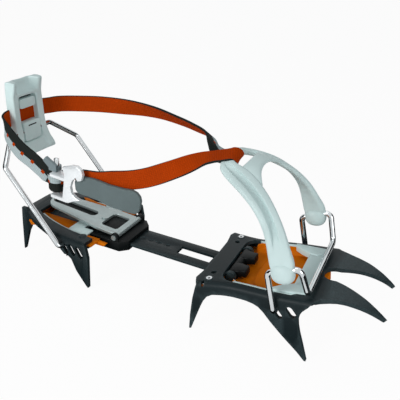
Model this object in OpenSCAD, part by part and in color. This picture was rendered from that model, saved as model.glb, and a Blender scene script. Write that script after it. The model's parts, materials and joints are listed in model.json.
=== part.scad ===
// Ten-point mountaineering crampon for a right boot: two steel sections on a flat bar, a wire toe bail
// with a moulded harness, a wire heel bail with a lever, and an ankle strap with a buckle.
// +X points to the toe, +Y to the inner side of the foot, +Z up. The points stand on Z = 0.

/* [Whole crampon] */
// Height of the platforms' top faces above the point tips
platform_h = 41; // [36:0.5:48]
// Thickness of the pressed steel frames
frame_t = 3; // [2:0.1:4]
// From the heel edge to the middle of the whole crampon, where the origin lies
centre_x = 148.6; // [140:0.1:155]
// From the heel's middle line to the middle of the whole crampon
centre_y = 2; // [-2:0.1:5]

/* [Front section] */
// From the heel edge to the rivets at the back of the front section
front_x = 184; // [170:0.5:200]
// Upward tilt of the front section, to suit the boot's toe spring, in degrees
toe_rise = 6.5; // [0:0.5:9]
// Inward turn of the front section, to suit the foot, in degrees
toe_turn = 3; // [0:0.5:6]
// Half width of the front section at its rear points
front_rear_half = 43; // [38:0.5:48]
// Half width of the front section at its waist
front_waist_half = 36.5; // [33:0.5:40]
// Half width of the front section at its second points
front_wide_half = 39; // [36:0.5:44]
// Reach of the front points past the rivets
front_reach = 122; // [110:0.5:132]
// Drop of the front points' tips below the platform
front_drop = 16; // [8:0.5:24]
// Width of the flat border round the opening of the front section
front_border = 5; // [4:0.5:8]

/* [Heel section] */
// Length of the heel platform
heel_l = 84; // [76:0.5:92]
// Half width of the heel section at its front points
heel_half = 41.5; // [37:0.5:46]
// Half width of the flat rear edge of the heel
heel_rear_half = 14; // [10:0.5:18]
// Width of the heel platform's border
heel_border = 12; // [9:0.5:15]
// Length of the adjusting slots for the heel wire
wire_slot_l = 10; // [9:0.2:11]

/* [Linking bar] */
// Width of the bar
bar_w = 26; // [22:0.5:30]
// Thickness of the bar
bar_t = 2.5; // [2:0.1:3.5]
// Drop of the bar's top face below the platforms
bar_drop = 6.5; // [6:0.1:8]
// Rear end of the bar, from the heel edge
bar_rear_x = 12; // [8:0.5:24]
// Pitch of the size dimples along the bar
dimple_pitch = 8; // [6:0.5:10]
// Radius of the hinge barrel at the bar's front end
barrel_r = 3.7; // [3.4:0.1:4]
// Radius of the hinge pin
hinge_pin_r = 2; // [1.5:0.1:2.5]

/* [Wires] */
// Radius of the toe and heel wires
wire_r = 2.1; // [1.8:0.1:2.4]
// Bend radius of the wires along their middle line
wire_bend = 5; // [4.5:0.1:6]
// Height of the heel wire's upper bends
heel_bend_z = 92; // [84:0.5:100]
// Height of the heel wire's crosspiece, on which the heel lever turns
cross_z = 109; // [104:0.5:114]

/* [Heel lever] */
// Height of the heel lever's top edge
lever_top_z = 152; // [146:0.5:160]
// Width of the heel lever at its foot
lever_w = 39; // [36:0.5:42]
// Width of the heel lever at its top
lever_top_w = 33; // [29:0.5:35]
// Width of the lever's window
lever_window_w = 21; // [18:0.5:23]

/* [Strap and buckle] */
// Width of the ankle strap
strap_w = 14; // [12.5:0.5:15]
// Thickness of the ankle strap
strap_t = 1.8; // [1.4:0.1:2.2]
// Length of the buckle's pad
pad_l = 60; // [54:0.5:66]
// Height of the buckle's pad
pad_h = 20.5; // [16:0.5:22]
// Radius of the buckle's pin
buckle_pin_r = 2; // [1.6:0.1:2.4]

/* [Length adjuster] */
// Length of the adjuster lever behind its pin
adjuster_l = 80; // [72:0.5:84]
// Half width of the adjuster lever at its pin
adjuster_half = 16.5; // [14:0.5:17]
// Thickness of the adjuster lever
adjuster_t = 2.5; // [2:0.1:3]
// Upward slope of the adjuster lever towards the heel, in degrees
adjuster_slope = 4.5; // [3:0.5:7]

/* [Hidden] */
$fn = 48;
running = 0.06;
loose = 0.3;
rivet_r = 2.2;

// Colours
steel = "#2d373a";
black = "#1b2022";
pale = "#bed2d2";
orange = "#c84605";
snow_orange = "#c8690f";
bright = "#9baaaa";
grey = "#55605f";
white = "#e8ecec";
webbing = "#3a4244";

// Front section, in its own frame: x forward from its rivets, z up from its platform
front_rear_x = -8;
rear_tip_x = -14.5;
waist_x = 17;
wide_x = 55;
second_tip_x = 72;
front_strip_x = 76;
open_rear_x = 12;
open_front_x = 66;
open_corner = 5;
bend_x = 78;
notch_half = 8;
point_t = 5;
point_outer = [[0.2, 33], [0.55, 28.5], [0.78, 25.8], [0.985, 22.3], [1, 21]];
point_inner = [[0.85, 19.3], [0.66, 16.5], [0.48, 14], [0.28, 10.5]];
tip_w = 1.2;
rivet_head_r = 3.6;
rivet_head_h = 1.2;
rivet_button_h = 0.6;
front_rivet_in = 7;
front_rivet_y = front_half(0) - front_rivet_in;
small_hole_y = 23.5;
small_hole_r = 1.6;

// Hinge between the bar and the front section
bar_z = platform_h - bar_drop;
hinge_in = 11;
hinge_drop = (platform_h + hinge_in * sin(toe_rise) - bar_z - barrel_r) / cos(toe_rise);
barrel_half = 17;
ear_t = 3;
ear_in = barrel_half + loose;
pin_head_t = 1;
pin_head_r = hinge_pin_r + pin_head_t;
hinge_room_x = 26;
hinge_room_half = 22.5;
tab_w = 10;
tab_reach = 13;
tab_ys = [-11.5, 9];
tab_t = 2.4;
yoke_t = 2.2;
yoke_x = 0;
yoke_rivet_x = 4;
yoke_rivet_y = 7;

// Snow plate and rim of the front section
rim_w = 3;
rim_seat = 1.5;
rim_z = -6.5;
snow_t = 2;
lip_h = 2.2;
apron_x = 16;
apron_half = 21;
lip_half = 26;
rim_lug = 8;
rim_panel_x = 52;
rim_panel_z = -1.5;

// Linking bar
bar_over = 12;
bar_chamfer = 4;
bar_slot = [41, 12];
bar_slot_half = 5;
dimple_r = 2;
dimple_depth = 0.6;

// Toe wire, in the front section's frame
toe_hook = [51, -11];
toe_free_slot = [61, -9];
toe_slot_run = [3, -4.5];
hook_end = 2.5;
toe_shoulder = [47.5, 20];
toe_top = [70, 26.5];
toe_corner = [73.4, 4.8];
toe_corner_in = 5;
hook_bend = 3;
ball_gap = 0.15;
ball_over = 0.03;
shoulder_bend = 4;
toe_wire_y = front_wide_half + hook_bend + running;

// Edges of one harness leg, in the front section's frame, from its sleeve up to the strap loop
leg_rear = [[49.5, 42, 21], [48.3, 42, 37], [45.5, 41, 51], [39, 38.5, 62.5], [27, 33, 72], [14, 25.5, 77.5],
    [6.4, 17.5, 81]];
leg_front = [[66.5, 41, 26], [61.5, 37.5, 39], [56, 33, 51.5], [48, 27, 63.5], [38, 20, 72.5], [28, 14.5, 79.5],
    [15, 11.5, 82.5]];
leg_t = 4.5;
sleeve_r = 5.5;
sleeve_l = 13.5;
loop_bar = [11.5, 82.5];
loop_bar_r = 3.2;
loop_half = 14;
bridge = [[24, 81], [34, 79]];
bridge_crown = 1.5;
fold_r = loop_bar_r + loose + strap_t / 2;

// Heel section
heel_rear_x = -5;
heel_front_x = heel_rear_x + heel_l;
heel_open_x = 10;
heel_flange_x = 12;
heel_flange_end = 83;
heel_tip_x = 79.4;
rear_heel_tip_x = -8.6;
rear_point_half = heel_rear_half + 6;
rear_stop_h = 2.5;
heel_rivet = [8.6, rear_point_half - 0.5];
heel_hook_x = 57;
heel_hook_drop = -7;
heel_slot_pitch = 7.5;
heel_slot_xs = [for (i = [0:2]) heel_hook_x + i * heel_slot_pitch];
heel_slot_run = unit([3.2, -5.2]) * (wire_slot_l - 2 * wire_r);
tray_inset = 6;
tray_t = 1.5;
tray_rear_x = 0;
tray_front_x = 61;
under_z = platform_h - frame_t;
shelf_z = under_z - 3;
trough_half = bar_w / 2 + 3;
trough_z = bar_z - bar_t - 3.5;
front_lip_x = 81.5;
front_lip_t = 2;
lip_root_x = 52;
lip_root_y = heel_edge(tray_front_x) - heel_border + loose;
front_lip_in = lip_root_y - 5.5;
rear_lip = [10, rear_point_half - frame_t / 2 - 0.5, bar_z - 4.5];
rim_arm_w = 2.5;
rim_top_z = under_z + 1.5;
rim_rear_x = 14;
cross_x = 50;
tab_x = [52, 70];
rim_tab_in = 14.5;
rim_tab_w = 10;
tab_y = [heel_half - rim_tab_in - rim_tab_w, heel_half - rim_tab_in];

// Guide for the bar
guide_x = [62, 104];
guide_wing_t = 2;
wing_z = under_z - front_lip_t;
guide_wing_half = heel_half - 6;
guide_half = bar_w / 2 + 8;
guide_bottom = bar_z - bar_t - 2.5;
guide_chamfer = 6;
guide_rivets_at = [[70, heel_half - 10.5]];

// Length adjuster
eye_r = 2.2;
adjuster_pin_r = 1.2;
pin_x = 93;
pin_z = under_z + eye_r + loose;
lug_t = 3;
lug_r = eye_r + 1.3;
lug_in = adjuster_half + loose;
adjuster_rear_half = 11;
window_l = 15;
window_half = 8;
window_at = eye_r + 1;
slot_at = 33;
slot_l = 42;
slot_half = 3;
stud_at = 23;
stud_r = 2.4;
stud_head_r = 3.4;
stud_head_h = 1;
stud_neck_r = 1.6;
stud_room = 1.6;
leaf_t = 0.8;
leaf_l = 14;
leaf_half = 5;

// Heel wire and lever; the lever's own places are measured from the wire's crosspiece
heel_wire_y = heel_half + hook_bend + running;
heel_bend_x = 8;
heel_bend_in = 1;
cross_at = [-3.5, cross_z];
cross_half = 23;
lever_top = lever_top_z - cross_z;
lever_waist = (lever_w + lever_top_w) / 2 - 1;
lever_window = [-11, lever_top - 13];
strap_slot_x = -4.5;
strap_slot_z = 14;
lever_panel = [lever_top - 22, lever_top - 14];
lever_panel_x = [-1.5, 1];
insert_top = 7.5;
keyhole_z = -3;
keyhole_r = 2;

// Middle lines of the strap's lengths, and the directions of their upper edges
up = [0, 0, 1];
rear_run = [[-8, -20.1, 123], [-7.5, -24, 120.5], [0.4, -29, 115.5], [10, -33, 111.5], [20, -36, 106.5],
    [32.7, -37, 101.5], [43, -36.6, 95.5], [49, -36.4, 89.6]];
rear_up = [up, up, [0, 0.2, 1], [0, 0.3, 1], [0, 0.3, 1], [0, 0.2, 1], up, up];
far_run = [[-8, 20.1, 123], [-8, 22, 123], [-4.5, 26, 123], [3, 32, 124], [20, 37, 125.5], [40, 41, 127], [60, 43, 128],
    [80, 43, 129], [101, 40, 129.5], [123, 34, 129], [139.5, 29, 128], [155, 22.5, 127], [164, 13.5, 124]];
far_up = [up, up, up, up, up, up, [0, -0.1, 1], [0, -0.4, 1], [0, -0.7, 1], [0, -1, 1.05], [0, -1, 0.95], [0, -1, 0.7],
    [0, -1, 0.35]];
near_run = [[74, -37, 96.8], [84, -37, 98], [97, -37, 99.5], [108, -36.4, 102], [124, -35.5, 105.7], [137.5, -32.5, 110],
    [153.5, -25.5, 117], [167, -15, 123]];
near_up = [up, up, up, [0, 0.1, 1], [0, 0.15, 1], [0, 0.3, 1], [0, 0.7, 0.8], [0, 1, 0.5]];
front_side = [-sin(toe_turn), cos(toe_turn), 0];
tail_run = [[50.4, -34.1, 88.4], [40, -34.3, 93]];
tail_l = 12;
tail_lead = 4;

// Buckle, on a nearly upright pin from its foot to its top
buckle_foot = [53.5, -36, 72];
buckle_top = [56, -36, 107.5];
pin_l = norm(buckle_top - buckle_foot);
loop_z = 9.5;
buckle_lug_t = 3;
buckle_lug_r = 3.6;
strap_face = strap_t / 2 + 1 + loose;
pad_t = 3;
pad_at = [105, 90.5];
plate_in = strap_face + pad_t + loose;
plate_t = 3;
arm_l = 15;
tab_outline = [[-9, 6.5], [-6.3, 10], [3.6, 5], [3.6, 0], [-1, 0]];
hook_outline = [[11, 6.4], [17, 6.4], [22, 9.5], [28.2, 12.2], [24.1, 13], [20.3, 16], [19.3, 20.7], [21.3, 26.6],
    [24.7, 30.3], [26.4, 27.7], [30, 29.3], [31.3, 33.9], [29.9, 37.6], [26.2, 39.8], [21.6, 39.2], [16.8, 37.1],
    [12.5, 35.5], [14, 29], [13.2, 21]];
tab_out = [2.6, 5];

function unit(v) = v / norm(v);
function flip(points) = [for (p = points) [p[0], -p[1], p[2]]];
function flat_flip(points) = [for (p = points) [p[0], -p[1]]];
function flip_first(points) = [for (p = points) [-p[0], p[1]]];
function backwards(list) = [for (i = [len(list) - 1:-1:0]) list[i]];
function steps(a, b, n) = [for (i = [0:n]) a + (b - a) * i / n];
function ease(s) = s <= 0 ? 0 : s >= 1 ? 1 : s * s * (3 - 2 * s);

// Half width of the front section at x, and the height at which a tip there meets the ground
function front_half(x) = x < waist_x
    ? front_waist_half + (front_rear_half - front_waist_half) * pow((waist_x - x) / (waist_x - rear_tip_x), 1.5)
    : front_waist_half + (front_wide_half - front_waist_half) * ease((x - waist_x) / (wide_x - waist_x));
function front_tip_z(x) = -(platform_h + x * sin(toe_rise)) / cos(toe_rise);

front_xs = steps(front_rear_x, front_strip_x, 16);

// Place along a front point, from 0 at its root to 1 at its tip
function point_x(s) = bend_x + s * (front_reach - bend_x);

// Half width of the heel section at x
function heel_edge(x) = heel_rear_half + (heel_half - heel_rear_half)
    * pow(1 - pow((heel_front_x - min(x, heel_front_x)) / heel_l, 2), 0.7);

heel_rear_xs = [for (i = [0:4]) heel_rear_x + (heel_flange_x - heel_rear_x) * i / 5];
heel_side_xs = steps(heel_flange_x, heel_front_x, 14);

// Outline of the front section's opening, drawn in by an inset
function front_opening(inset) =
    let (x0 = open_rear_x + inset, x1 = open_front_x - inset,
        side = [for (x = steps(x0 + open_corner, x1 - open_corner, 8)) [x, front_half(x) - front_border - inset]],
        edge = concat([[x0, side[0][1] - open_corner]], side, [[x1, side[8][1] - open_corner]]))
    concat(edge, backwards(flat_flip(edge)));

module part_frame() {
    translate([-centre_x, -centre_y, 0]) children();
}

module front_place() {
    translate([front_x, 0, platform_h]) rotate([0, -toe_rise, toe_turn]) children();
}

module both_sides() {
    children();
    mirror([0, 1, 0]) children();
}

module prism(z0, z1) {
    translate([0, 0, z0]) linear_extrude(z1 - z0) children();
}

// Extrudes an outline drawn in x and z from y0 to y1
module across(y0, y1) {
    translate([0, y1, 0]) rotate([90, 0, 0]) linear_extrude(y1 - y0) children();
}

module box(low, high) {
    translate(low) cube(high - low);
}

module rod_y(x, z, r, y0, y1) {
    translate([x, y1, z]) rotate([90, 0, 0]) cylinder(r = r, h = y1 - y0);
}

// Oblong bar along y whose round ends lie at two places in x and z
module slot_y(a, b, r, y0, y1) {
    slant = atan2(b[1] - a[1], b[0] - a[0]);
    for (p = [a, b]) rod_y(p[0], p[1], r, y0, y1);
    translate([a[0], 0, a[1]]) rotate([0, -slant, 0]) box([0, y0, -r], [norm(b - a), y1, r]);
}

// Puts the z axis along the line from a to b
module along_line(a, b) {
    z = unit(b - a);
    x = unit(cross(abs(z[2]) < 0.9 ? [0, 0, 1] : [1, 0, 0], z));
    y = cross(z, x);
    multmatrix([[x[0], y[0], z[0], a[0]], [x[1], y[1], z[1], a[1]], [x[2], y[2], z[2], a[2]], [0, 0, 0, 1]])
        children();
}

module rod(a, b, r) {
    along_line(a, b) cylinder(r = r, h = norm(b - a));
}

// Round wire through the points, with one bend radius for each inner point; a ball closes each joint
// between a straight length and a bend
module bent_wire(points, bends, r) {
    n = len(points);
    dirs = [for (i = [0:n - 2]) unit(points[i + 1] - points[i])];
    turns = concat([0], [for (i = [1:n - 2]) acos(dirs[i - 1] * dirs[i])], [0]);
    cuts = concat([0], [for (i = [1:n - 2]) bends[i - 1] * tan(turns[i] / 2)], [0]);
    ends = concat([0], [for (i = [1:n - 2]) cuts[i] + ball_gap], [0]);
    for (i = [0:n - 2]) rod(points[i] + dirs[i] * ends[i], points[i + 1] - dirs[i] * ends[i + 1], r);
    for (i = [1:n - 2]) {
        ahead = dirs[i - 1];
        out = -(dirs[i] - ahead * cos(turns[i])) / sin(turns[i]);
        side = cross(out, ahead);
        mid = points[i] - ahead * cuts[i] - out * bends[i - 1];
        multmatrix([[out[0], ahead[0], side[0], mid[0]], [out[1], ahead[1], side[1], mid[1]],
            [out[2], ahead[2], side[2], mid[2]], [0, 0, 0, 1]])
            rotate_extrude(angle = turns[i]) translate([bends[i - 1], 0]) circle(r);
        for (p = [points[i] - ahead * cuts[i], points[i] + dirs[i] * cuts[i]]) translate(p) sphere(r + ball_over);
    }
}

// Flat band between two edge lines, with a thickness t across its face
module band(edge_a, edge_b, t) {
    n = len(edge_a);
    mids = (edge_a + edge_b) / 2;
    half = [for (i = [0:n - 1])
        unit(cross(mids[min(i + 1, n - 1)] - mids[max(i - 1, 0)], edge_b[i] - edge_a[i])) * t / 2];
    points = [for (i = [0:n - 1])
        each [edge_a[i] - half[i], edge_b[i] - half[i], edge_b[i] + half[i], edge_a[i] + half[i]]];
    walls = [for (i = [0:n - 2], k = [0:3]) let (a = 4 * i + k, b = 4 * i + (k + 1) % 4)
        each [[a, a + 4, b + 4], [a, b + 4, b]]];
    last = 4 * n - 4;
    ends = [[0, 1, 2], [0, 2, 3], [last, last + 2, last + 1], [last, last + 3, last + 2]];
    polyhedron(points, concat(walls, ends));
}

// Length of strap along a middle line, with the direction of its upper edge at each point
module strap(line, uprights) {
    shift = [for (u = uprights) unit(u) * strap_w / 2];
    band(line - shift, line + shift, strap_t);
}

// Rivet with its head sunk into a plate whose top is at z1
module sunk_rivet(x, y, z0, z1) {
    translate([x, y, z0]) cylinder(r = rivet_r, h = z1 - z0);
    translate([x, y, z1 - rivet_head_h]) cylinder(r1 = rivet_r, r2 = rivet_head_r, h = rivet_head_h);
    translate([x, y, z1]) cylinder(r1 = rivet_head_r, r2 = rivet_r, h = rivet_button_h);
}

module rivet_tail(x, y, z) {
    translate([x, y, z - rivet_head_h]) cylinder(r1 = rivet_r, r2 = rivet_head_r, h = rivet_head_h);
}

module rivet_hole(x, y, z0, z1) {
    translate([x, y, z0]) cylinder(r = rivet_r + running, h = z1 - z0);
}

// Hole through a frame's platform for a sunk rivet
module sunk_hole(x, y) {
    rivet_hole(x, y, -frame_t - 1, 1);
    translate([x, y, -rivet_head_h])
        cylinder(r1 = rivet_r + running, r2 = rivet_head_r + running, h = rivet_head_h);
    translate([x, y, 0]) cylinder(r = rivet_head_r + running, h = 1);
}

// Side view of the front section's turned-down wall with its two points
front_profile = [[front_rear_x + 1, 0], [-9.3, -13], [rear_tip_x, front_tip_z(rear_tip_x)],
    [rear_tip_x + tip_w, front_tip_z(rear_tip_x + tip_w)], [-7.5, -26], [-1, -12.5], [3, -9], [33, -9.5],
    [38, -11], [41, -14], [46.7, -21.5], [56, -32], [66, -41],
    [second_tip_x - tip_w, front_tip_z(second_tip_x - tip_w)], [second_tip_x, front_tip_z(second_tip_x)],
    [70, -33], [67.6, -22.6], [67.4, -14.6], [69.8, -8.5], [front_strip_x, -6], [front_strip_x, 0]];

module front_wall() {
    xs = concat([rear_tip_x - 1], front_xs);
    intersection() {
        prism(front_tip_z(second_tip_x) - 1, 0) polygon(concat([for (x = xs) [x, front_half(x)]],
            [for (x = backwards(xs)) [x, front_half(x) - frame_t]]));
        across(0, 2 * front_rear_half) polygon(front_profile);
    }
}

module front_top() {
    side = [for (x = front_xs) [x, front_half(x)]];
    difference() {
        prism(-frame_t, 0) polygon(concat(side, backwards(flat_flip(side))));
        prism(-frame_t - 1, 1) polygon(front_opening(0));
        box([hinge_in - barrel_r - loose, -ear_in, -frame_t - 1], [open_rear_x + 1, ear_in, 1]);
    }
}

module front_point() {
    notch_x = point_x(0.18);
    outer = concat([[open_front_x, 0], [open_front_x, front_half(open_front_x)], [front_strip_x, front_half(front_strip_x)]],
        [for (p = point_outer) [point_x(p[0]), p[1]]]);
    inner = [for (p = point_inner) [point_x(p[0]), p[1]]];
    notch = [for (a = [0:15:90]) [notch_x - notch_half * sin(a), notch_half * cos(a)]];
    shares = steps(0, 1, 8);
    top = [for (s = shares) [point_x(s), -front_drop * s * s]];
    under = [for (s = backwards(shares)) [point_x(s), -front_drop * s * s - point_t * (1 - 0.72 * s * s)]];
    intersection() {
        prism(-front_drop - point_t, 1) polygon(concat(outer, inner, notch));
        across(-1, front_rear_half) polygon(concat([[open_front_x, 0]], top, under,
            [[open_front_x + rim_seat + loose, -frame_t], [open_front_x, -frame_t]]));
    }
}

module hinge_ear() {
    rod_y(hinge_in, -hinge_drop, barrel_r, ear_in, ear_in + ear_t);
    box([hinge_in - barrel_r, ear_in, -hinge_drop], [open_rear_x, ear_in + ear_t, -frame_t / 2]);
}

module front_frame() {
    color(steel) part_frame() front_place() difference() {
        union() {
            front_top();
            both_sides() {
                front_wall();
                front_point();
                hinge_ear();
            }
        }
        rod_y(hinge_in, -hinge_drop, hinge_pin_r + running, -front_rear_half, front_rear_half);
        both_sides() {
            rod_y(hinge_in, -hinge_drop, pin_head_r + running, ear_in + ear_t, ear_in + ear_t + pin_head_t + loose);
            sunk_hole(0, front_rivet_y);
            translate([0, small_hole_y, -frame_t - 1]) cylinder(r = small_hole_r, h = frame_t + 2);
            for (at = [toe_hook, toe_free_slot])
                slot_y(at, at + toe_slot_run, wire_r + running, front_waist_half - frame_t - 1, front_rear_half);
        }
    }
}

module hinge_room() {
    box([front_rear_x - 2, -hinge_room_half, rim_z - snow_t - 1], [hinge_room_x, hinge_room_half, 1]);
}

module front_snow_plate() {
    color(snow_orange) part_frame() front_place() difference() {
        prism(rim_z - snow_t, rim_z) polygon(front_opening(-rim_seat));
        hinge_room();
    }
    color(snow_orange) part_frame() front_place() {
        box([apron_x, -apron_half, rim_z - 2 * snow_t], [hinge_room_x + rim_seat, apron_half, rim_z - snow_t]);
        box([hinge_room_x, -apron_half, rim_z - 2 * snow_t], [hinge_room_x + rim_seat, apron_half, rim_z - snow_t / 2]);
    }
}

module front_snow_rim() {
    hole = front_opening(rim_w);
    lug_xs = steps(-rim_lug / 2, open_rear_x + rim_w, 4);
    color(pale) part_frame() front_place() difference() {
        union() {
            difference() {
                union() {
                    prism(rim_z, 0) polygon(front_opening(running));
                    prism(rim_z, -frame_t) polygon(front_opening(-rim_seat));
                }
                intersection() {
                    prism(rim_z - 1, 1) polygon(hole);
                    box([open_rear_x, -front_rear_half, rim_z - 1], [rim_panel_x, front_rear_half, 1]);
                }
                intersection() {
                    prism(rim_panel_z, 1) polygon(hole);
                    box([rim_panel_x - 1, -front_rear_half, rim_panel_z], [open_front_x, front_rear_half, 1]);
                }
            }
            box([open_front_x - rim_w, lip_half * -1, -frame_t], [open_front_x - running, lip_half, lip_h]);
            both_sides() prism(rim_z, -frame_t) polygon(concat([for (x = lug_xs) [x, front_half(x) - frame_t - loose]],
                [[lug_xs[4], front_rivet_y - rim_lug / 2], [lug_xs[0], front_rivet_y - rim_lug / 2]]));
        }
        hinge_room();
        both_sides() rivet_hole(0, front_rivet_y, rim_z - 1, 0);
    }
}

module front_rivets() {
    color(bright) part_frame() front_place() both_sides() {
        sunk_rivet(0, front_rivet_y, rim_z, 0);
        rivet_tail(0, front_rivet_y, rim_z);
    }
}

module link_bar() {
    slot = [front_x - bar_slot[0], front_x - bar_slot[1]];
    color(steel) part_frame() difference() {
        prism(bar_z - bar_t, bar_z) polygon([[bar_rear_x, -bar_w / 2 + bar_chamfer], [bar_rear_x + bar_chamfer, -bar_w / 2],
            [front_x + bar_over, -bar_w / 2], [front_x + bar_over, bar_w / 2], [bar_rear_x + bar_chamfer, bar_w / 2],
            [bar_rear_x, bar_w / 2 - bar_chamfer]]);
        box([slot[0], -bar_slot_half, bar_z - bar_t - 1], [slot[1], bar_slot_half, bar_z + 1]);
        for (x = [bar_rear_x + dimple_pitch:dimple_pitch:slot[0] - dimple_pitch])
            translate([x, 0, bar_z - dimple_depth]) cylinder(r = dimple_r, h = dimple_depth + 1);
        for (y = [-yoke_rivet_y, yoke_rivet_y])
            rivet_hole(front_x + yoke_rivet_x, y, bar_z - bar_t - 1, bar_z + 1);
    }
}

module bar_yoke() {
    color(black) part_frame() difference() {
        union() {
            box([front_x + yoke_x, -bar_w / 2, bar_z], [front_x + hinge_in, bar_w / 2, bar_z + yoke_t]);
            front_place() {
                rod_y(hinge_in, -hinge_drop, barrel_r, -barrel_half, barrel_half);
                for (y = tab_ys) box([hinge_in, y - tab_w / 2, -hinge_drop - tab_t / 2],
                    [hinge_in + tab_reach, y + tab_w / 2, -hinge_drop + tab_t / 2]);
            }
        }
        front_place() rod_y(hinge_in, -hinge_drop, hinge_pin_r + running, -barrel_half - 1, barrel_half + 1);
        for (y = [-yoke_rivet_y, yoke_rivet_y])
            rivet_hole(front_x + yoke_rivet_x, y, bar_z - 1, bar_z + yoke_t + 1);
    }
}

module yoke_rivets() {
    color(steel) part_frame() for (y = [-yoke_rivet_y, yoke_rivet_y]) translate([front_x + yoke_rivet_x, y, 0]) {
        prism(bar_z - bar_t, bar_z + yoke_t) circle(rivet_r);
        prism(bar_z - bar_t - rivet_head_h, bar_z - bar_t) circle(rivet_head_r);
    }
}

module hinge_pin() {
    end = ear_in + ear_t;
    color(bright) part_frame() front_place() {
        rod_y(hinge_in, -hinge_drop, hinge_pin_r, -end, end);
        both_sides() rod_y(hinge_in, -hinge_drop, pin_head_r, end, end + pin_head_t);
    }
}

// Corners of the toe wire from one hook to the other
toe_wire_side = [[toe_hook[0], front_half(toe_hook[0]) - frame_t - hook_end, toe_hook[1]],
    [toe_hook[0], toe_wire_y, toe_hook[1]], [toe_shoulder[0], toe_wire_y, toe_shoulder[1]],
    [toe_top[0], toe_wire_y, toe_top[1]], [toe_corner[0], toe_wire_y - toe_corner_in, toe_corner[1]]];

module toe_wire() {
    bends = [hook_bend, shoulder_bend, shoulder_bend, wire_bend];
    color(bright) part_frame() front_place()
        bent_wire(concat(flip(toe_wire_side), backwards(toe_wire_side)), concat(bends, backwards(bends)), wire_r);
}

module toe_harness() {
    a = toe_wire_side[2];
    b = toe_wire_side[3];
    mid = (a + b) / 2;
    half = unit(b - a) * sleeve_l / 2;
    color(pale) part_frame() front_place() difference() {
        union() {
            both_sides() {
                band(leg_rear, leg_front, leg_t);
                rod(mid - half, mid + half, sleeve_r);
            }
            rod_y(loop_bar[0], loop_bar[1], loop_bar_r, -loop_half, loop_half);
            band([for (y = [-1, 0, 1]) [bridge[0][0], y * loop_half, bridge[0][1] + bridge_crown * (1 - y * y)]],
                [for (y = [-1, 0, 1]) [bridge[1][0], y * loop_half, bridge[1][1] + bridge_crown * (1 - y * y)]], leg_t);
        }
        both_sides() rod(a, b, wire_r + running);
    }
}

// Side views of the heel section's walls, as places along x and drops below the platform
heel_wall_profile = [[heel_flange_x, 0], [heel_flange_x, -4], [30, -5], [46, -6.5], [49, -8.5], [53, -13], [57, -16],
    [60.5, -15.5], [64.7, -18], [68.8, -27.5], [heel_tip_x, -platform_h], [heel_tip_x + tip_w, -platform_h], [82.3, -12.3],
    [80.5, -2], [heel_front_x, 0]];
rear_point_profile = [[heel_rear_x + 0.5, rear_stop_h], [-6, -11], [rear_heel_tip_x, -platform_h], [rear_heel_tip_x + tip_w, -platform_h],
    [0, -21], [6, -10.5], [9.5, -frame_t], [9.5, 0], [2.5, 0], [0, rear_stop_h]];

module heel_top() {
    edge = [for (x = concat(heel_rear_xs, heel_side_xs)) [x, heel_edge(x)]];
    hole = [for (x = steps(heel_open_x, heel_front_x, 10)) [x, heel_edge(x) - heel_border]];
    difference() {
        prism(-frame_t, 0) polygon(concat(edge, backwards(flat_flip(edge))));
        prism(-frame_t - 1, 1) polygon(concat(hole, [[heel_front_x + 1, heel_half - heel_border]],
            [[heel_front_x + 1, heel_border - heel_half]], backwards(flat_flip(hole))));
    }
}

module heel_wall() {
    xs = concat(heel_side_xs, [heel_flange_end]);
    intersection() {
        prism(-platform_h - 1, 0) polygon(concat([for (x = xs) [x, heel_edge(x)]],
            [for (x = backwards(xs)) [x, heel_edge(x) - frame_t]]));
        across(0, 2 * heel_half) polygon(heel_wall_profile);
    }
}

module heel_frame() {
    color(steel) part_frame() translate([0, 0, platform_h]) difference() {
        union() {
            heel_top();
            both_sides() {
                heel_wall();
                across(rear_point_half - frame_t / 2, rear_point_half + frame_t / 2) polygon(rear_point_profile);
            }
        }
        both_sides() {
            sunk_hole(heel_rivet[0], heel_rivet[1]);
            for (at = guide_rivets_at) sunk_hole(at[0], at[1]);
            for (x = heel_slot_xs) slot_y([x, heel_hook_drop], [x, heel_hook_drop] + heel_slot_run, wire_r + running,
                heel_half / 2, heel_half + 1);
        }
    }
}

function tray_outline(inset, x1) =
    let (edge = [for (x = steps(tray_rear_x + inset, x1, 12)) [x, heel_edge(x) - tray_inset - inset]])
    concat(edge, backwards(flat_flip(edge)));

module heel_snow_plate() {
    color(snow_orange) part_frame() difference() {
        union() {
            difference() {
                prism(shelf_z - tray_t, under_z) polygon(tray_outline(0, tray_front_x));
                prism(shelf_z, under_z + 1) polygon(tray_outline(tray_t, tray_front_x + 1));
            }
            box([tray_rear_x, -trough_half, trough_z], [tray_front_x, trough_half, shelf_z]);
            box([tray_rear_x, -rear_lip[1], rear_lip[2]], [rear_lip[0], rear_lip[1], under_z]);
            both_sides() {
                box([lip_root_x, lip_root_y, wing_z], [front_lip_x, guide_wing_half, under_z]);
                box([tray_front_x + loose, front_lip_in, wing_z], [front_lip_x, guide_wing_half, under_z]);
            }
        }
        both_sides() for (at = guide_rivets_at) rivet_hole(at[0], at[1], trough_z, platform_h);
        box([tray_rear_x + tray_t, tray_t - trough_half, trough_z + tray_t],
            [tray_front_x + 1, trough_half - tray_t, under_z]);
        both_sides() translate([heel_rivet[0], heel_rivet[1], trough_z - 1])
            cylinder(r = rivet_head_r + loose, h = platform_h);
    }
}

module heel_snow_rim() {
    xs = steps(rim_rear_x, cross_x + 1, 8);
    end = heel_edge(cross_x) - heel_border - running;
    color(pale) part_frame() {
        both_sides() {
            prism(shelf_z, rim_top_z) polygon(concat([for (x = xs) [x, heel_edge(x) - heel_border - running]],
                [for (x = backwards(xs)) [x, heel_edge(x) - heel_border - rim_arm_w]]));
            box([tab_x[0], tab_y[0], under_z + loose], [tab_x[1], tab_y[1], rim_top_z]);
        }
        box([cross_x, -end, shelf_z], [tray_front_x, end, rim_top_z]);
    }
}

module heel_rivets() {
    color(bright) part_frame() both_sides() sunk_rivet(heel_rivet[0], heel_rivet[1], under_z, platform_h);
}

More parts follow.
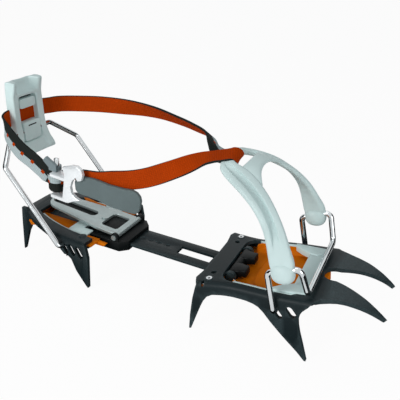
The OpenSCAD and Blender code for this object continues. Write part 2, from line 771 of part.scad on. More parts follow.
module stud_slot() {
    x = pin_x - stud_at * cos(adjuster_slope);
    reach = stud_r + stud_room;
    box([x - reach, -stud_r - loose, bar_z], [x + reach, stud_r + loose, under_z + 1]);
}

module bar_guide() {
    front = guide_x[1] - guide_chamfer;
    near = guide_half - guide_chamfer;
    side = bar_w / 2 + running;
    color(black) part_frame() difference() {
        union() {
            prism(guide_bottom, under_z) polygon([[guide_x[0], -guide_half], [front, -guide_half], [guide_x[1], -near],
                [guide_x[1], near], [front, guide_half], [guide_x[0], guide_half]]);
            both_sides() {
                box([guide_x[0], 0, wing_z - guide_wing_t], [heel_front_x, guide_wing_half, wing_z]);
                rod_y(pin_x, pin_z, lug_r, lug_in, lug_in + lug_t);
                box([pin_x - lug_r, lug_in, under_z - 1], [pin_x + lug_r, lug_in + lug_t, pin_z]);
            }
        }
        box([guide_x[0] - 1, -side, bar_z - bar_t - running], [guide_x[1] + 1, side, bar_z + running]);
        rod_y(pin_x, pin_z, adjuster_pin_r + running, -guide_half - 1, guide_half + 1);
        stud_slot();
        both_sides() for (at = guide_rivets_at) rivet_hole(at[0], at[1], guide_bottom, platform_h);
    }
}

module guide_rivets() {
    color(bright) part_frame() both_sides() for (at = guide_rivets_at)
        sunk_rivet(at[0], at[1], wing_z - guide_wing_t, platform_h);
}

module adjuster_place() {
    translate([pin_x, 0, pin_z]) rotate([0, adjuster_slope, 0]) children();
}

module adjuster_lever() {
    rear = adjuster_rear_half - adjuster_l;
    t = adjuster_t;
    color(bright) part_frame() adjuster_place() difference() {
        union() {
            prism(-t / 2, t / 2) polygon([[0, -adjuster_half], [0, adjuster_half], [-window_at - window_l, adjuster_half],
                [rear, adjuster_rear_half], [rear, -adjuster_rear_half], [-window_at - window_l, -adjuster_half]]);
            translate([rear, 0, -t / 2]) cylinder(r = adjuster_rear_half, h = t);
            rod_y(0, 0, eye_r, -adjuster_half, adjuster_half);
        }
        rod_y(0, 0, adjuster_pin_r + running, -adjuster_half - 1, adjuster_half + 1);
        box([-window_at - window_l, -window_half, -t], [-window_at, window_half, t]);
        box([-slot_at - slot_l, -slot_half, -t], [-slot_at, slot_half, t]);
        translate([-slot_at - slot_l, 0, -t]) cylinder(r = slot_half, h = 2 * t);
        translate([-stud_at, 0, -t]) cylinder(r = stud_neck_r + running, h = 2 * t);
    }
}

module adjuster_stud() {
    t = adjuster_t;
    foot = (pin_z + stud_at * sin(adjuster_slope) - bar_z - 2 * loose) / cos(adjuster_slope);
    color(bright) part_frame() adjuster_place() translate([-stud_at, 0, 0]) {
        prism(-foot, -t / 2) circle(stud_r);
        prism(-t / 2, t / 2) circle(stud_neck_r);
        prism(t / 2, t / 2 + stud_head_h) circle(stud_head_r);
    }
}

module adjuster_pin() {
    end = lug_in + lug_t;
    color(bright) part_frame() {
        rod_y(pin_x, pin_z, adjuster_pin_r, -end, end);
        both_sides() rod_y(pin_x, pin_z, adjuster_pin_r + pin_head_t, end, end + pin_head_t);
    }
}

module adjuster_spring() {
    front = pin_x - eye_r - loose;
    color(bright) part_frame() box([front - leaf_l, -leaf_half, under_z], [front, leaf_half, under_z + leaf_t]);
}

module heel_wire() {
    z = platform_h + heel_hook_drop;
    side = [[heel_hook_x, heel_half - frame_t - hook_end, z], [heel_hook_x, heel_wire_y, z],
        [heel_bend_x, heel_wire_y - heel_bend_in, heel_bend_z], [cross_at[0], cross_half, cross_at[1]]];
    bends = [hook_bend, wire_bend, wire_bend];
    color(bright) part_frame() bent_wire(concat(flip(side), backwards(side)), concat(bends, backwards(bends)), wire_r);
}

module lever_place() {
    translate([cross_at[0], 0, cross_at[1]]) children();
}

// Side view of the lever and one edge of its front view, from its foot to its top
lever_l = lever_top + 20;
lever_profile = [[3.5, lever_top], [1.5, lever_top - 12], [1.5, 3], [4.5, -9], [9.5, -17], [5.5, -19], [-4.5, -13],
    [-7.5, 3], [-7.5, lever_top - 17], [-2.5, lever_top + 1]];
lever_edge = [[lever_w / 2, -20], [lever_w / 2, -14], [lever_waist / 2, -2], [lever_top_w / 2, lever_top + 2]];

module heel_lever() {
    half = lever_w / 2;
    gap = lever_window_w / 2;
    color(pale) part_frame() lever_place() {
        difference() {
            intersection() {
                across(-half, half) polygon(lever_profile);
                translate([-lever_l, 0, 0]) rotate([90, 0, 90]) linear_extrude(2 * lever_l)
                    polygon(concat(lever_edge, backwards(flip_first(lever_edge))));
            }
            box([-lever_l, -gap, lever_window[0]], [lever_l, gap, lever_window[1]]);
            box([strap_slot_x - strap_t / 2 - loose, -half - 1, strap_slot_z - strap_w / 2 - loose],
                [strap_slot_x + strap_t / 2 + loose, half + 1, strap_slot_z + strap_w / 2 + loose]);
            rod_y(0, 0, wire_r + running, -half - 1, half + 1);
        }
        box([lever_panel_x[0], -gap - 1, lever_panel[0]], [lever_panel_x[1], gap + 1, lever_panel[1]]);
    }
}

module lever_insert() {
    gap = lever_window_w / 2 - running;
    front = wire_r + running;
    color(pale) part_frame() lever_place() difference() {
        across(-gap, gap) polygon([[front, insert_top], [front + 1.4, insert_top], [front + 2.2, -8], [front + 2.2, lever_window[0] + running],
            [front, lever_window[0] + running]]);
        translate([0, 0, keyhole_z]) rotate([0, 90, 0]) cylinder(r = keyhole_r, h = 10);
        box([0, -keyhole_r / 2, keyhole_z - 2 * keyhole_r], [10, keyhole_r / 2, keyhole_z]);
    }
}

// Part-frame place of a point given in the front section's own frame
function placed(p) =
    let (x = p[0] * cos(toe_rise) - p[2] * sin(toe_rise), z = p[0] * sin(toe_rise) + p[2] * cos(toe_rise))
    [front_x + x * cos(toe_turn) - p[1] * sin(toe_turn), x * sin(toe_turn) + p[1] * cos(toe_turn), platform_h + z];

// Last points of a strap's run, straight up to the fold's lower (-1) or upper (1) end
function to_fold(s) = [for (lead = [tail_lead, 0])
    placed([loop_bar[0] - tail_l - running - lead, 0, loop_bar[1] + s * fold_r])];

module strap_heel() {
    half = lever_w / 2 + loose;
    color(webbing) part_frame() lever_place() box([strap_slot_x - strap_t / 2, -half, strap_slot_z - strap_w / 2],
        [strap_slot_x + strap_t / 2, half, strap_slot_z + strap_w / 2]);
}

module strap_far() {
    color(webbing) part_frame()
        strap(concat(far_run, to_fold(-1)), concat(far_up, [-front_side, -front_side]));
}

module strap_near() {
    color(orange) part_frame()
        strap(concat(near_run, to_fold(1)), concat(near_up, [front_side, front_side]));
}

module strap_toe() {
    half = strap_w / 2;
    color(orange) part_frame() front_place() translate([loop_bar[0], 0, loop_bar[1]]) {
        difference() {
            rod_y(0, 0, fold_r + strap_t / 2, -half, half);
            rod_y(0, 0, fold_r - strap_t / 2, -half - 1, half + 1);
            box([-tail_l, -half - 1, -tail_l], [0, half + 1, tail_l]);
        }
        for (s = [-1, 1]) box([-tail_l, -half, s * fold_r - strap_t / 2], [0, half, s * fold_r + strap_t / 2]);
    }
}

module strap_rear() {
    color(webbing) part_frame() strap(rear_run, rear_up);
}

module strap_tail() {
    color(webbing) part_frame() strap(tail_run, [for (p = tail_run) up]);
}

// Frame of the buckle: z up the pin, x outwards from the foot, y forwards
module buckle_place() {
    along_line(buckle_foot, buckle_top) children();
}

module strap_loop() {
    color(webbing) part_frame() buckle_place() difference() {
        prism(loop_z, loop_z + strap_w) circle(buckle_pin_r + running + strap_t);
        prism(loop_z - 1, loop_z + strap_w + 1) circle(buckle_pin_r + running);
    }
}

module buckle_pin() {
    color(bright) part_frame() rod(buckle_foot, buckle_top, buckle_pin_r);
}

// Lug round the buckle's pin, with an arm that reaches out and forwards or backwards to a plate
module buckle_lug(z) {
    translate([0, 0, z]) cylinder(r = buckle_lug_r, h = buckle_lug_t);
}

module buckle_body() {
    lug_zs = [loop_z - loose - buckle_lug_t, loop_z + strap_w + loose];
    outer = plate_in + plate_t;
    color(white) part_frame() buckle_place() difference() {
        union() {
            for (z = lug_zs) {
                buckle_lug(z);
                box([0, 0, z], [outer, arm_l, z + buckle_lug_t]);
            }
            translate([plate_in, 0, 0]) rotate([90, 0, 90]) linear_extrude(plate_t)
                polygon(hook_outline);
        }
        prism(-1, pin_l + 1) circle(buckle_pin_r + running);
    }
}

module buckle_lever() {
    z = loop_z + strap_w + 2 * loose + buckle_lug_t;
    color(grey) part_frame() buckle_place() difference() {
        union() {
            buckle_lug(z);
            box([0, -buckle_lug_r, z], [tab_out[1], 0, z + buckle_lug_t]);
            translate([tab_out[0], 0, z]) rotate([90, 0, 90]) linear_extrude(tab_out[1] - tab_out[0])
                polygon(tab_outline);
        }
        prism(z - 1, z + buckle_lug_t + 1) circle(buckle_pin_r + running);
    }
}

module buckle_pad() {
    y = buckle_foot[1] - strap_face;
    r = pad_h / 2;
    color(grey) part_frame() {
        box([pad_at[0] - pad_l / 2, y - pad_t, pad_at[1] - r], [pad_at[0] + pad_l / 2 - r, y, pad_at[1] + r]);
        rod_y(pad_at[0] + pad_l / 2 - r, pad_at[1], r, y - pad_t, y);
    }
}

front_frame();
front_snow_plate();
front_snow_rim();
front_rivets();
link_bar();
bar_yoke();
yoke_rivets();
hinge_pin();
toe_wire();
toe_harness();
heel_frame();
heel_snow_plate();
heel_snow_rim();
heel_rivets();
bar_guide();
guide_rivets();
adjuster_lever();
adjuster_stud();
adjuster_pin();
adjuster_spring();
heel_wire();
heel_lever();
lever_insert();
strap_heel();
strap_far();
strap_near();
strap_toe();
strap_rear();
strap_loop();
strap_tail();
buckle_body();
buckle_pin();
buckle_lever();
buckle_pad();
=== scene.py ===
# %% [markdown]
# # A mountaineering crampon, dressed over its solids
#
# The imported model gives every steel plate, pin and bail in its true place and size. This lesson adds
# what the solids leave plain: rolled and broken edges, moulded plastic, a woven strap and the finishes.
# Each step says what the piece is on the real crampon before its code makes it.

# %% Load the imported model
import json
import math

import bmesh
import bpy
from mathutils import Matrix, Vector
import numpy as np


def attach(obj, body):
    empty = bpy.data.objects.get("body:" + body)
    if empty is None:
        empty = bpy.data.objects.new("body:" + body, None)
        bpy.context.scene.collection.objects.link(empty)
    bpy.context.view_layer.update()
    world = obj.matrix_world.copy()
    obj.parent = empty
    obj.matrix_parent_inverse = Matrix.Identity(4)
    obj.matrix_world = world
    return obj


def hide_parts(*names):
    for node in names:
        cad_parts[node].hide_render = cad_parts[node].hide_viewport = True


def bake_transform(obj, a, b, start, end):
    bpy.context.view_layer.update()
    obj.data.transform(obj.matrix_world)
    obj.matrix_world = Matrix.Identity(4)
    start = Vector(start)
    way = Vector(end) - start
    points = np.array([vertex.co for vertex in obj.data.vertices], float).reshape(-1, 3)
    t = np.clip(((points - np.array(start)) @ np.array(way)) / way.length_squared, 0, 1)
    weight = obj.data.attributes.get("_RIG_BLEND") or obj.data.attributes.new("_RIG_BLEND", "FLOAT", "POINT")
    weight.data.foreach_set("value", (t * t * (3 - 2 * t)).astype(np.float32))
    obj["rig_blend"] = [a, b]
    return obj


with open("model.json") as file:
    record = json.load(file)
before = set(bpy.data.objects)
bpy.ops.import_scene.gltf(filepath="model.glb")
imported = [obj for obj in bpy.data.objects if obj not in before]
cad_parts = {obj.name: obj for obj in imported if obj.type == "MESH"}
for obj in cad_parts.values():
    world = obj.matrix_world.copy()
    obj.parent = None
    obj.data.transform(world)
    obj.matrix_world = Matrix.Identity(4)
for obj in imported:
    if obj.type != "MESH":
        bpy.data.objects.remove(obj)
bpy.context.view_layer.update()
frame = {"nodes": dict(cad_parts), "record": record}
scene = bpy.context.scene
scene.view_settings.view_transform = "Standard"


def linked(name, data):
    made = bpy.data.objects.new(name, data)
    scene.collection.objects.link(made)
    return made


# %% [markdown]
# ## Two ways to name a place
#
# The crampon was measured along its own length, with zero at the back of the heel plate, while the
# model's zero is in its middle. One small function turns the first into the second, so that every number
# below can be read as a measurement in millimetres. The front section is tilted and turned inwards, so
# places on it are easier to give in its own frame.

# %% Places on the crampon and its front section
MIDDLE = Vector((148.6, 2.0, 0.0))


def spot(x, y, z):
    return (Vector((x, y, z)) - MIDDLE) / 1000


FRONT = (
    Matrix.Translation(spot(184, 0, 41))
    @ Matrix.Rotation(math.radians(3), 4, "Z")
    @ Matrix.Rotation(math.radians(-6.5), 4, "Y")
)


def front_spot(x, y, z):
    return FRONT @ (Vector((x, y, z)) / 1000)


print("front section starts at", [round(c, 4) for c in FRONT.translation])

# %% [markdown]
# ## Camera
#
# The picture was taken from the front right, about 27 degrees above the ground, with a short lens close
# to the crampon: the near points look much larger than the far ones. The camera is written as three axes
# and a distance, because that is how it was fitted to the measured places.

# %% Camera
LENS_MM = 48.26
AIM = spot(160.25, 0, 83.42)
DISTANCE = 0.40165
turn, rise, roll = (math.radians(a) for a in (27.38, 27.2, 1.31))
away = Vector((math.cos(rise) * math.sin(turn), -math.cos(rise) * math.cos(turn), math.sin(rise)))
right = Vector((0, 0, 1)).cross(away).normalized()
above = away.cross(right)
image_x = right * math.cos(roll) + above * math.sin(roll)
image_y = above * math.cos(roll) - right * math.sin(roll)
camera = linked("camera", bpy.data.cameras.new("camera"))
camera.data.lens = LENS_MM
camera.data.clip_start = 0.01
axes = Matrix((image_x, image_y, away)).transposed().to_4x4()
camera.matrix_world = Matrix.Translation(AIM + away * DISTANCE) @ axes
scene.camera = camera
print("camera at", [round(c, 3) for c in camera.matrix_world.translation])

# %% [markdown]
# ## Studio
#
# A pale floor and three large soft lamps, the way small gear is photographed for a catalogue. What the
# camera and mirror-like metal see behind the crampon is plain white, while the light that falls on it
# stays at an ordinary level. Three black cards, which show only in reflections, give the polished wires
# their dark edges.

# %% Helpers for lamps and shader nodes


def soft_lamp(name, place, aim, size, watts):
    data = bpy.data.lights.new(name, "AREA")
    data.size = size
    data.energy = watts
    lamp = linked(name, data)
    lamp.location = place
    lamp.rotation_euler = (Vector(aim) - Vector(place)).to_track_quat("-Z", "Y").to_euler()


def add(tree, kind, values=(), **settings):
    made = tree.nodes.new("ShaderNode" + kind)
    for name, value in settings.items():
        setattr(made, name, value)
    pairs = values.items() if isinstance(values, dict) else enumerate(values)
    for socket, value in pairs:
        if isinstance(value, bpy.types.NodeSocket):
            tree.links.new(value, made.inputs[socket])
        else:
            made.inputs[socket].default_value = value
    return made


def combined(tree, operation, *values):
    return add(tree, "Math", values, operation=operation).outputs[0]


def seen_directly(tree):
    rays = add(tree, "LightPath").outputs
    seen = combined(tree, "MAXIMUM", rays["Is Camera Ray"], rays["Is Glossy Ray"])
    return combined(tree, "MAXIMUM", seen, rays["Is Transmission Ray"])


def new_material(name):
    material = bpy.data.materials.new(name)
    material.use_nodes = True
    return material, material.node_tree


# %% Lamps and background
soft_lamp("key_lamp", (-0.3, -0.9, 0.4), (0, 0, 0.05), 0.45, 5.6)
soft_lamp("fill_lamp", (0.8, -0.3, 0.35), (0, 0, 0.05), 0.5, 2.2)
soft_lamp("top_lamp", (-0.1, 0.1, 0.9), (0, 0, 0.06), 0.5, 0.9)

world = bpy.data.worlds.new("studio")
scene.world = world
world.use_nodes = True
tree = world.node_tree
daylight = tree.nodes["Background"]
daylight.inputs["Color"].default_value = (0.93, 0.97, 1.0, 1.0)
daylight.inputs["Strength"].default_value = 0.27
white = add(tree, "Background", {"Color": (1, 1, 1, 1), "Strength": 1.0})
mixed = add(tree, "MixShader", [seen_directly(tree), daylight.outputs[0], white.outputs[0]])
tree.links.new(mixed.outputs[0], tree.nodes["World Output"].inputs["Surface"])
print("lamps:", len(bpy.data.lights))

# %% Floor
FLOOR_HALF = 3.0
BELOW_POINTS = 0.0005
GLOW_SHARE = 0.95
shape = bmesh.new()
bmesh.ops.create_grid(shape, x_segments=1, y_segments=1, size=FLOOR_HALF)
floor_mesh = bpy.data.meshes.new("floor")
shape.to_mesh(floor_mesh)
shape.free()
floor = linked("floor", floor_mesh)
floor.location.z = -BELOW_POINTS
paper, tree = new_material("paper")
matt = add(tree, "BsdfDiffuse", {"Color": (0.9, 0.9, 0.9, 1)})
glow = add(tree, "Emission", {"Color": (1, 1, 1, 1), "Strength": 1.0})
share = combined(tree, "MULTIPLY", seen_directly(tree), GLOW_SHARE)
both = add(tree, "MixShader", [share, matt.outputs[0], glow.outputs[0]])
tree.links.new(both.outputs[0], tree.nodes["Material Output"].inputs["Surface"])
floor_mesh.materials.append(paper)

# %% Black cards
black_card, tree = new_material("black_card")
matt = add(tree, "BsdfDiffuse", {"Color": (0.01, 0.012, 0.012, 1)})
tree.links.new(matt.outputs[0], tree.nodes["Material Output"].inputs["Surface"])
card_mesh = floor_mesh.copy()
card_mesh.materials.clear()
card_mesh.materials.append(black_card)
for name, place, aim, size in (
    ("right_card", (0.55, 0.28, 0.15), (0, 0, 0.15), (0.15, 0.15, 1)),
    ("left_card", (-0.55, -0.28, 0.15), (0, 0, 0.15), (0.15, 0.15, 1)),
    ("table_card", (0, 0.085, 0.0002), (0, 0.085, 1), (0.12, 0.0535, 1)),
):
    card = linked(name, card_mesh)
    card.location = place
    card.rotation_euler = (Vector(aim) - Vector(place)).to_track_quat("Z", "Y").to_euler()
    card.scale = size
    card.visible_camera = False
    card.visible_diffuse = False
    card.visible_shadow = False
    card.visible_transmission = False
    print(name, "staged")

# %% [markdown]
# ## Finishes
#
# Most of the crampon is coated steel and moulded plastic. Neither is one flat colour: the coating has a
# fine orange-peel and is painted paler along its sharp edges, partly as wear and partly as painted
# highlight, and mouldings carry a faint clouding and a grained skin. One helper builds such a finish
# from two noises, one broad for the colour and one fine for the bump.

# %% Helpers for colours and levels


def paint(red, green, blue):
    def linear(c):
        c = c / 255
        return c / 12.92 if c < 0.04045 else ((c + 0.055) / 1.055) ** 2.4

    return (linear(red), linear(green), linear(blue), 1.0)


def scaled(colour, share):
    return tuple(min(1.0, c * share) for c in colour[:3]) + (1.0,)


def ramp(tree, value, stops):
    made = add(tree, "ValToRGB", {"Fac": value})
    for element, (place, colour) in zip(made.color_ramp.elements, stops):
        element.position = place
        element.color = colour
    return made.outputs["Color"]


def level(tree, value, low, high):
    return add(tree, "MapRange", {"Value": value, "To Min": low, "To Max": high}).outputs[0]


def over(tree, share, below, top):
    return add(tree, "Mix", {0: share, 6: below, 7: top}, data_type="RGBA").outputs[2]


# %% A helper for coated and moulded finishes


def surface(
    name, colour, rough, metal=0.0, cloud=40.0, grain=900.0, depth=0.00002, edge_wear_and_highlight=None, shine=0.5
):
    material, tree = new_material(name)
    shader = tree.nodes["Principled BSDF"]
    place = add(tree, "TexCoord").outputs["Object"]
    broad = add(tree, "TexNoise", {"Vector": place, "Scale": cloud, "Detail": 3.0}).outputs[0]
    fine = add(tree, "TexNoise", {"Vector": place, "Scale": grain, "Detail": 2.0}).outputs[0]
    tint = ramp(tree, broad, [(0.3, scaled(colour, 0.9)), (0.7, scaled(colour, 1.1))])
    # Sharp edges are painted paler: partly edge wear, partly a painted highlight along the edges.
    if edge_wear_and_highlight:
        edge = add(tree, "NewGeometry").outputs["Pointiness"]
        sharp = add(tree, "MapRange", {"Value": edge, "From Min": 0.53, "From Max": 0.62}).outputs[0]
        wear_and_highlight_share = combined(tree, "MULTIPLY", sharp, level(tree, fine, 0.2, 1.0))
        tint = over(tree, wear_and_highlight_share, tint, edge_wear_and_highlight)
    tree.links.new(tint, shader.inputs["Base Color"])
    tree.links.new(level(tree, broad, rough - 0.06, rough + 0.06), shader.inputs["Roughness"])
    shader.inputs["Metallic"].default_value = metal
    shader.inputs["Specular IOR Level"].default_value = shine
    bump = add(tree, "Bump", {"Height": fine, "Distance": depth, "Strength": 0.5})
    tree.links.new(bump.outputs[0], shader.inputs["Normal"])
    return material


# %% Finishes of the steel and the mouldings
# The paler edge colour of the coated steel is partly wear and partly painted highlight.
black_steel = surface("black_steel", paint(22, 33, 36), 0.42, shine=0.15, edge_wear_and_highlight=paint(66, 80, 83))
black_plastic = surface("black_plastic", paint(10, 14, 15), 0.45, shine=0.13)
pale_plastic = surface("pale_plastic", paint(205, 225, 224), 0.44, cloud=25.0, depth=0.000006, shine=0.3)
snow_orange = surface("snow_orange", paint(212, 112, 2), 0.5, cloud=30.0, shine=0.06)
pad_grey = surface("pad_grey", paint(92, 105, 106), 0.6, grain=1500.0, depth=0.00003, shine=0.25)
tab_grey = surface("tab_grey", paint(112, 126, 130), 0.35, 0.3)
wire_chrome = surface("wire_chrome", paint(204, 209, 211), 0.12, 1.0, cloud=60.0, depth=0.000003)
bright_steel = surface("bright_steel", paint(165, 178, 178), 0.32, 0.6, grain=2500.0)
polished_white = surface("polished_white", paint(232, 236, 238), 0.22, 0.35)
print("nine plain finishes")

# %% [markdown]
# ## Webbing
#
# The ankle strap is one woven band with two faces. One face is plain orange. The other is dark, with a
# pale grey lower part and a row of short orange stitches along the middle that show the setting. The
# weave is drawn on the band's own map, across and along the band in metres, so that it follows every
# bend and twist.

# %% Helpers for woven finishes


def webbing(name, face):
    material, tree = new_material(name)
    shader = tree.nodes["Principled BSDF"]
    place = add(tree, "UVMap", uv_map="weave").outputs[0]
    threads = []
    for scale, direction in ((260.0, "X"), (200.0, "Y")):
        values = {"Vector": place, "Scale": scale, "Distortion": 0.6}
        threads.append(add(tree, "TexWave", values, bands_direction=direction).outputs["Fac"])
    weave = combined(tree, "MULTIPLY", *threads)
    colour = face(tree, add(tree, "SeparateXYZ", [place]).outputs)
    shade = ramp(tree, weave, [(0.0, (0.8, 0.8, 0.8, 1)), (0.6, (1, 1, 1, 1))])
    mix = add(tree, "Mix", {0: 1.0, 6: colour, 7: shade}, data_type="RGBA", blend_type="MULTIPLY")
    tree.links.new(mix.outputs[2], shader.inputs["Base Color"])
    shader.inputs["Roughness"].default_value = 0.75
    shader.inputs["Specular IOR Level"].default_value = 0.05
    bump = add(tree, "Bump", {"Height": weave, "Distance": 0.00012, "Strength": 0.6})
    tree.links.new(bump.outputs[0], shader.inputs["Normal"])
    return material


def between(tree, value, low, high):
    more = combined(tree, "GREATER_THAN", value, low)
    less = combined(tree, "LESS_THAN", value, high)
    return combined(tree, "MULTIPLY", more, less)


# %% Faces of the strap
# On the band's map X runs across the band and Y along it.
STRAP_ORANGE = paint(178, 60, 1)
STRAP_DARK = paint(36, 40, 38)
STRAP_PALE = paint(176, 190, 192)
STITCH_PITCH = 0.0115
PLAIN_HALF = 0.0066


def orange_face(tree, band):
    place = add(tree, "TexCoord").outputs["Object"]
    cloud = add(tree, "TexNoise", {"Vector": place, "Scale": 60.0}).outputs[0]
    tint = ramp(tree, cloud, [(0.3, scaled(STRAP_ORANGE, 0.93)), (0.7, scaled(STRAP_ORANGE, 1.05))])
    far_from_middle = combined(tree, "ABSOLUTE", band["X"])
    return over(tree, between(tree, far_from_middle, PLAIN_HALF, 1.0), tint, STRAP_DARK)


def dark_face(tree, band):
    low = between(tree, band["X"], -1.0, -0.0005)
    beat = combined(tree, "FRACT", combined(tree, "MULTIPLY", band["Y"], 1 / STITCH_PITCH))
    stitch = between(tree, beat, 0.0, 0.27)
    dash = combined(tree, "MULTIPLY", stitch, between(tree, band["X"], -0.002, 0.0006))
    return over(tree, dash, over(tree, low, STRAP_DARK, STRAP_PALE), STRAP_ORANGE)


def dark_edge(tree, band):
    return ramp(tree, band["Y"], [(0.0, STRAP_DARK), (1.0, scaled(STRAP_DARK, 1.1))])


strap_orange = webbing("strap_orange", orange_face)
strap_dark = webbing("strap_dark", dark_face)
strap_edge = webbing("strap_edge", dark_edge)
print("three woven finishes")

# %% [markdown]
# ## From a mesh under construction to a finished piece
#
# Every piece below is made in a bmesh and then handed to the same few lines: they give it its material,
# smooth its shading except across true edges, hide the solid it stands for and hang it on that solid's
# body, which the imported record gives. Only the strap's lengths name their own bodies, because most of
# them bend between two.

# %% A helper that finishes a piece
record = frame["record"]
BODY = {node: body for body, nodes in record["behaviour"]["bodies"].items() for node in nodes}


def finished(name, shape, materials, node, crisp=35, rounding=0, rides=True):
    mesh = bpy.data.meshes.new(name)
    shape.to_mesh(mesh)
    shape.free()
    for material in materials:
        mesh.materials.append(material)
    mesh.shade_smooth()
    mesh.set_sharp_from_angle(angle=math.radians(crisp))
    piece = linked(name, mesh)
    if rounding:
        smooth = piece.modifiers.new("rounding", "SUBSURF")
        smooth.levels = rounding
        smooth.render_levels = rounding
    if rides:
        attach(piece, BODY[node])
    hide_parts(node)
    print(f"{name}: {len(mesh.vertices)} points, {len(mesh.polygons)} faces")
    return piece


# %% [markdown]
# ## Broken edges
#
# Pressed steel and moulded plastic never end in a knife edge. A copy of the solid gets its loose
# triangles joined back into flat faces, and every sharp edge is bevelled by a few tenths of a
# millimetre, which is what catches the light along the real pieces.

# %% Helpers that break a solid's edges


def merged_copy(node):
    shape = bmesh.new()
    shape.from_mesh(frame["nodes"][node].data)
    bmesh.ops.remove_doubles(shape, verts=shape.verts, dist=0.00002)
    return shape


def joined_copy(node):
    shape = merged_copy(node)
    bmesh.ops.dissolve_limit(
        shape,
        angle_limit=math.radians(1.0),
        use_dissolve_boundaries=False,
        verts=shape.verts,
        edges=shape.edges,
    )
    return shape


def sharp_edges(shape, angle=28):
    return [e for e in shape.edges if e.is_manifold and abs(e.calc_face_angle()) > math.radians(angle)]


def bevelled(shape, corners, width, segments=2, clamp=False, affect="EDGES"):
    bmesh.ops.bevel(
        shape,
        geom=corners,
        offset=width,
        offset_type="OFFSET",
        affect=affect,
        segments=segments,
        profile=0.5,
        material=-1,
        clamp_overlap=clamp,
    )


# %% Pieces that only have their edges broken
for node, width, material in (
    ("heel_snow_rim", 0.0004, pale_plastic),
    ("heel_snow_plate", 0.0003, snow_orange),
    ("link_bar", 0.0003, black_steel),
    ("bar_guide", 0.0004, black_plastic),
    ("buckle_body", 0.0004, polished_white),
):
    shape = joined_copy(node)
    bevelled(shape, sharp_edges(shape), width)
    finished(node + "_dressed", shape, [material], node)

# %% [markdown]
# ## A band drawn through sections
#
# The strap, the harness and the front tray are forms whose section changes little from place to place.
# Such a form starts as one ring of points, which is extruded from station to station and laid on the
# next section each time. The points remember their corner in the ring and their distance along the
# form, so that faces can be told apart afterwards. A second helper draws a smooth line through places.

# %% Helpers that extrude a ring along sections


def verts_of(made):
    return [g for g in made if isinstance(g, bmesh.types.BMVert)]


def face_outwards(shape):
    bmesh.ops.recalc_face_normals(shape, faces=shape.faces)


def drawn(rings, distances=None):
    shape = bmesh.new()
    corner = shape.verts.layers.int.new("corner")
    along = shape.verts.layers.float.new("along")
    distances = distances or range(len(rings))
    count = len(rings[0])
    verts = []
    for number, place in enumerate(rings[0]):
        vert = shape.verts.new(place)
        vert[corner] = number
        vert[along] = distances[0]
        verts.append(vert)
    edges = [shape.edges.new((verts[i], verts[(i + 1) % count])) for i in range(count)]
    first = verts
    for step, ring in enumerate(rings[1:], 1):
        made = bmesh.ops.extrude_edge_only(shape, edges=edges)["geom"]
        verts = verts_of(made)
        fresh = set(verts)
        edges = [g for g in made if isinstance(g, bmesh.types.BMEdge) and fresh.issuperset(g.verts)]
        for vert in verts:
            vert.co = ring[vert[corner]]
            vert[along] = distances[step]
    last = sorted(verts, key=lambda v: v[corner])
    shape.faces.new(first)
    shape.faces.new(last)
    face_outwards(shape)
    return shape


# %% A helper that smooths a line


def flowing(points, steps):
    points = [Vector(p) for p in points]
    out = []
    for i in range(len(points) - 1):
        before = points[max(i - 1, 0)]
        a, b = points[i], points[i + 1]
        after = points[min(i + 2, len(points) - 1)]
        for k in range(steps):
            t = k / steps
            square = (2 * before - 5 * a + 4 * b - after) * t * t
            cube = (3 * a - before - 3 * b + after) * t ** 3
            out.append(0.5 * (2 * a + (b - before) * t + square + cube))
    out.append(points[-1])
    return out


# %% [markdown]
# ## From a flat outline to a plate
#
# Sheet metal and mouldings start as flat outlines. These helpers fill an outline round its holes, pull a
# face out to its thickness, cut along a plane, add a rod that lies across the crampon, and carry every
# point through one of the functions that name a place.

# %% Helpers for flat outlines
SIDES = ((1, "inner"), (-1, "outer"))


def everything(shape):
    return shape.verts[:] + shape.edges[:] + shape.faces[:]


def filled(shape, rings, z):
    outline = []
    for ring in rings:
        verts = [shape.verts.new((x, y, z)) for x, y in ring]
        outline += [shape.edges.new(pair) for pair in zip(verts, verts[1:] + verts[:1])]
    bmesh.ops.triangle_fill(shape, use_beauty=True, use_dissolve=False, edges=outline, normal=(0, 0, 1))


def thickened(shape, offset):
    made = bmesh.ops.extrude_face_region(shape, geom=shape.faces[:])["geom"]
    bmesh.ops.translate(shape, vec=offset, verts=verts_of(made))
    face_outwards(shape)


def cut(shape, place, direction):
    bmesh.ops.bisect_plane(shape, geom=everything(shape), dist=1e-5, plane_co=place, plane_no=direction)


# %% Helpers for rods and places


def rod(shape, radius, length, segments, centre):
    bmesh.ops.create_cone(
        shape,
        cap_ends=True,
        segments=segments,
        radius1=radius,
        radius2=radius,
        depth=length,
        matrix=Matrix.Translation(centre) @ Matrix.Rotation(math.pi / 2, 4, "X"),
    )


def laid(shape, place):
    for vert in shape.verts:
        vert.co = place(*vert.co)


def on_side(corners, side):
    return [(x, y * side) for x, y in corners]


# %% [markdown]
# ## The front frame, folded from sheet
#
# The real frame is cut from flat steel and folded: a platform with an opening and clipped rear corners,
# two side walls that end in points, and two front points that curve down. Here, too, one half of the flat
# pattern is drawn, with its slots and holes, cut into narrow strips where it will bend, folded over a
# radius of four and a half millimetres, mirrored and given its thickness. In the pattern the second
# number counts outwards from the fold, so the bend lines are straight.

# %% Helpers for the front pattern
ROLL = 4.5
SHEET = 3.0
WAIST_X = 17
WAIST_HALF = 36.5


def eased(s):
    s = max(0.0, min(1.0, s))
    return s * s * (3 - 2 * s)


def front_half(x):
    if x < WAIST_X:
        return WAIST_HALF + 6.5 * ((WAIST_X - x) / 31.5) ** 1.5
    return WAIST_HALF + 2.5 * eased((x - WAIST_X) / 38)


def deck(x, y):
    return (x, y - front_half(x))


def wall(x, z):
    return (x, -z - 2 * ROLL + ROLL * math.pi / 2)


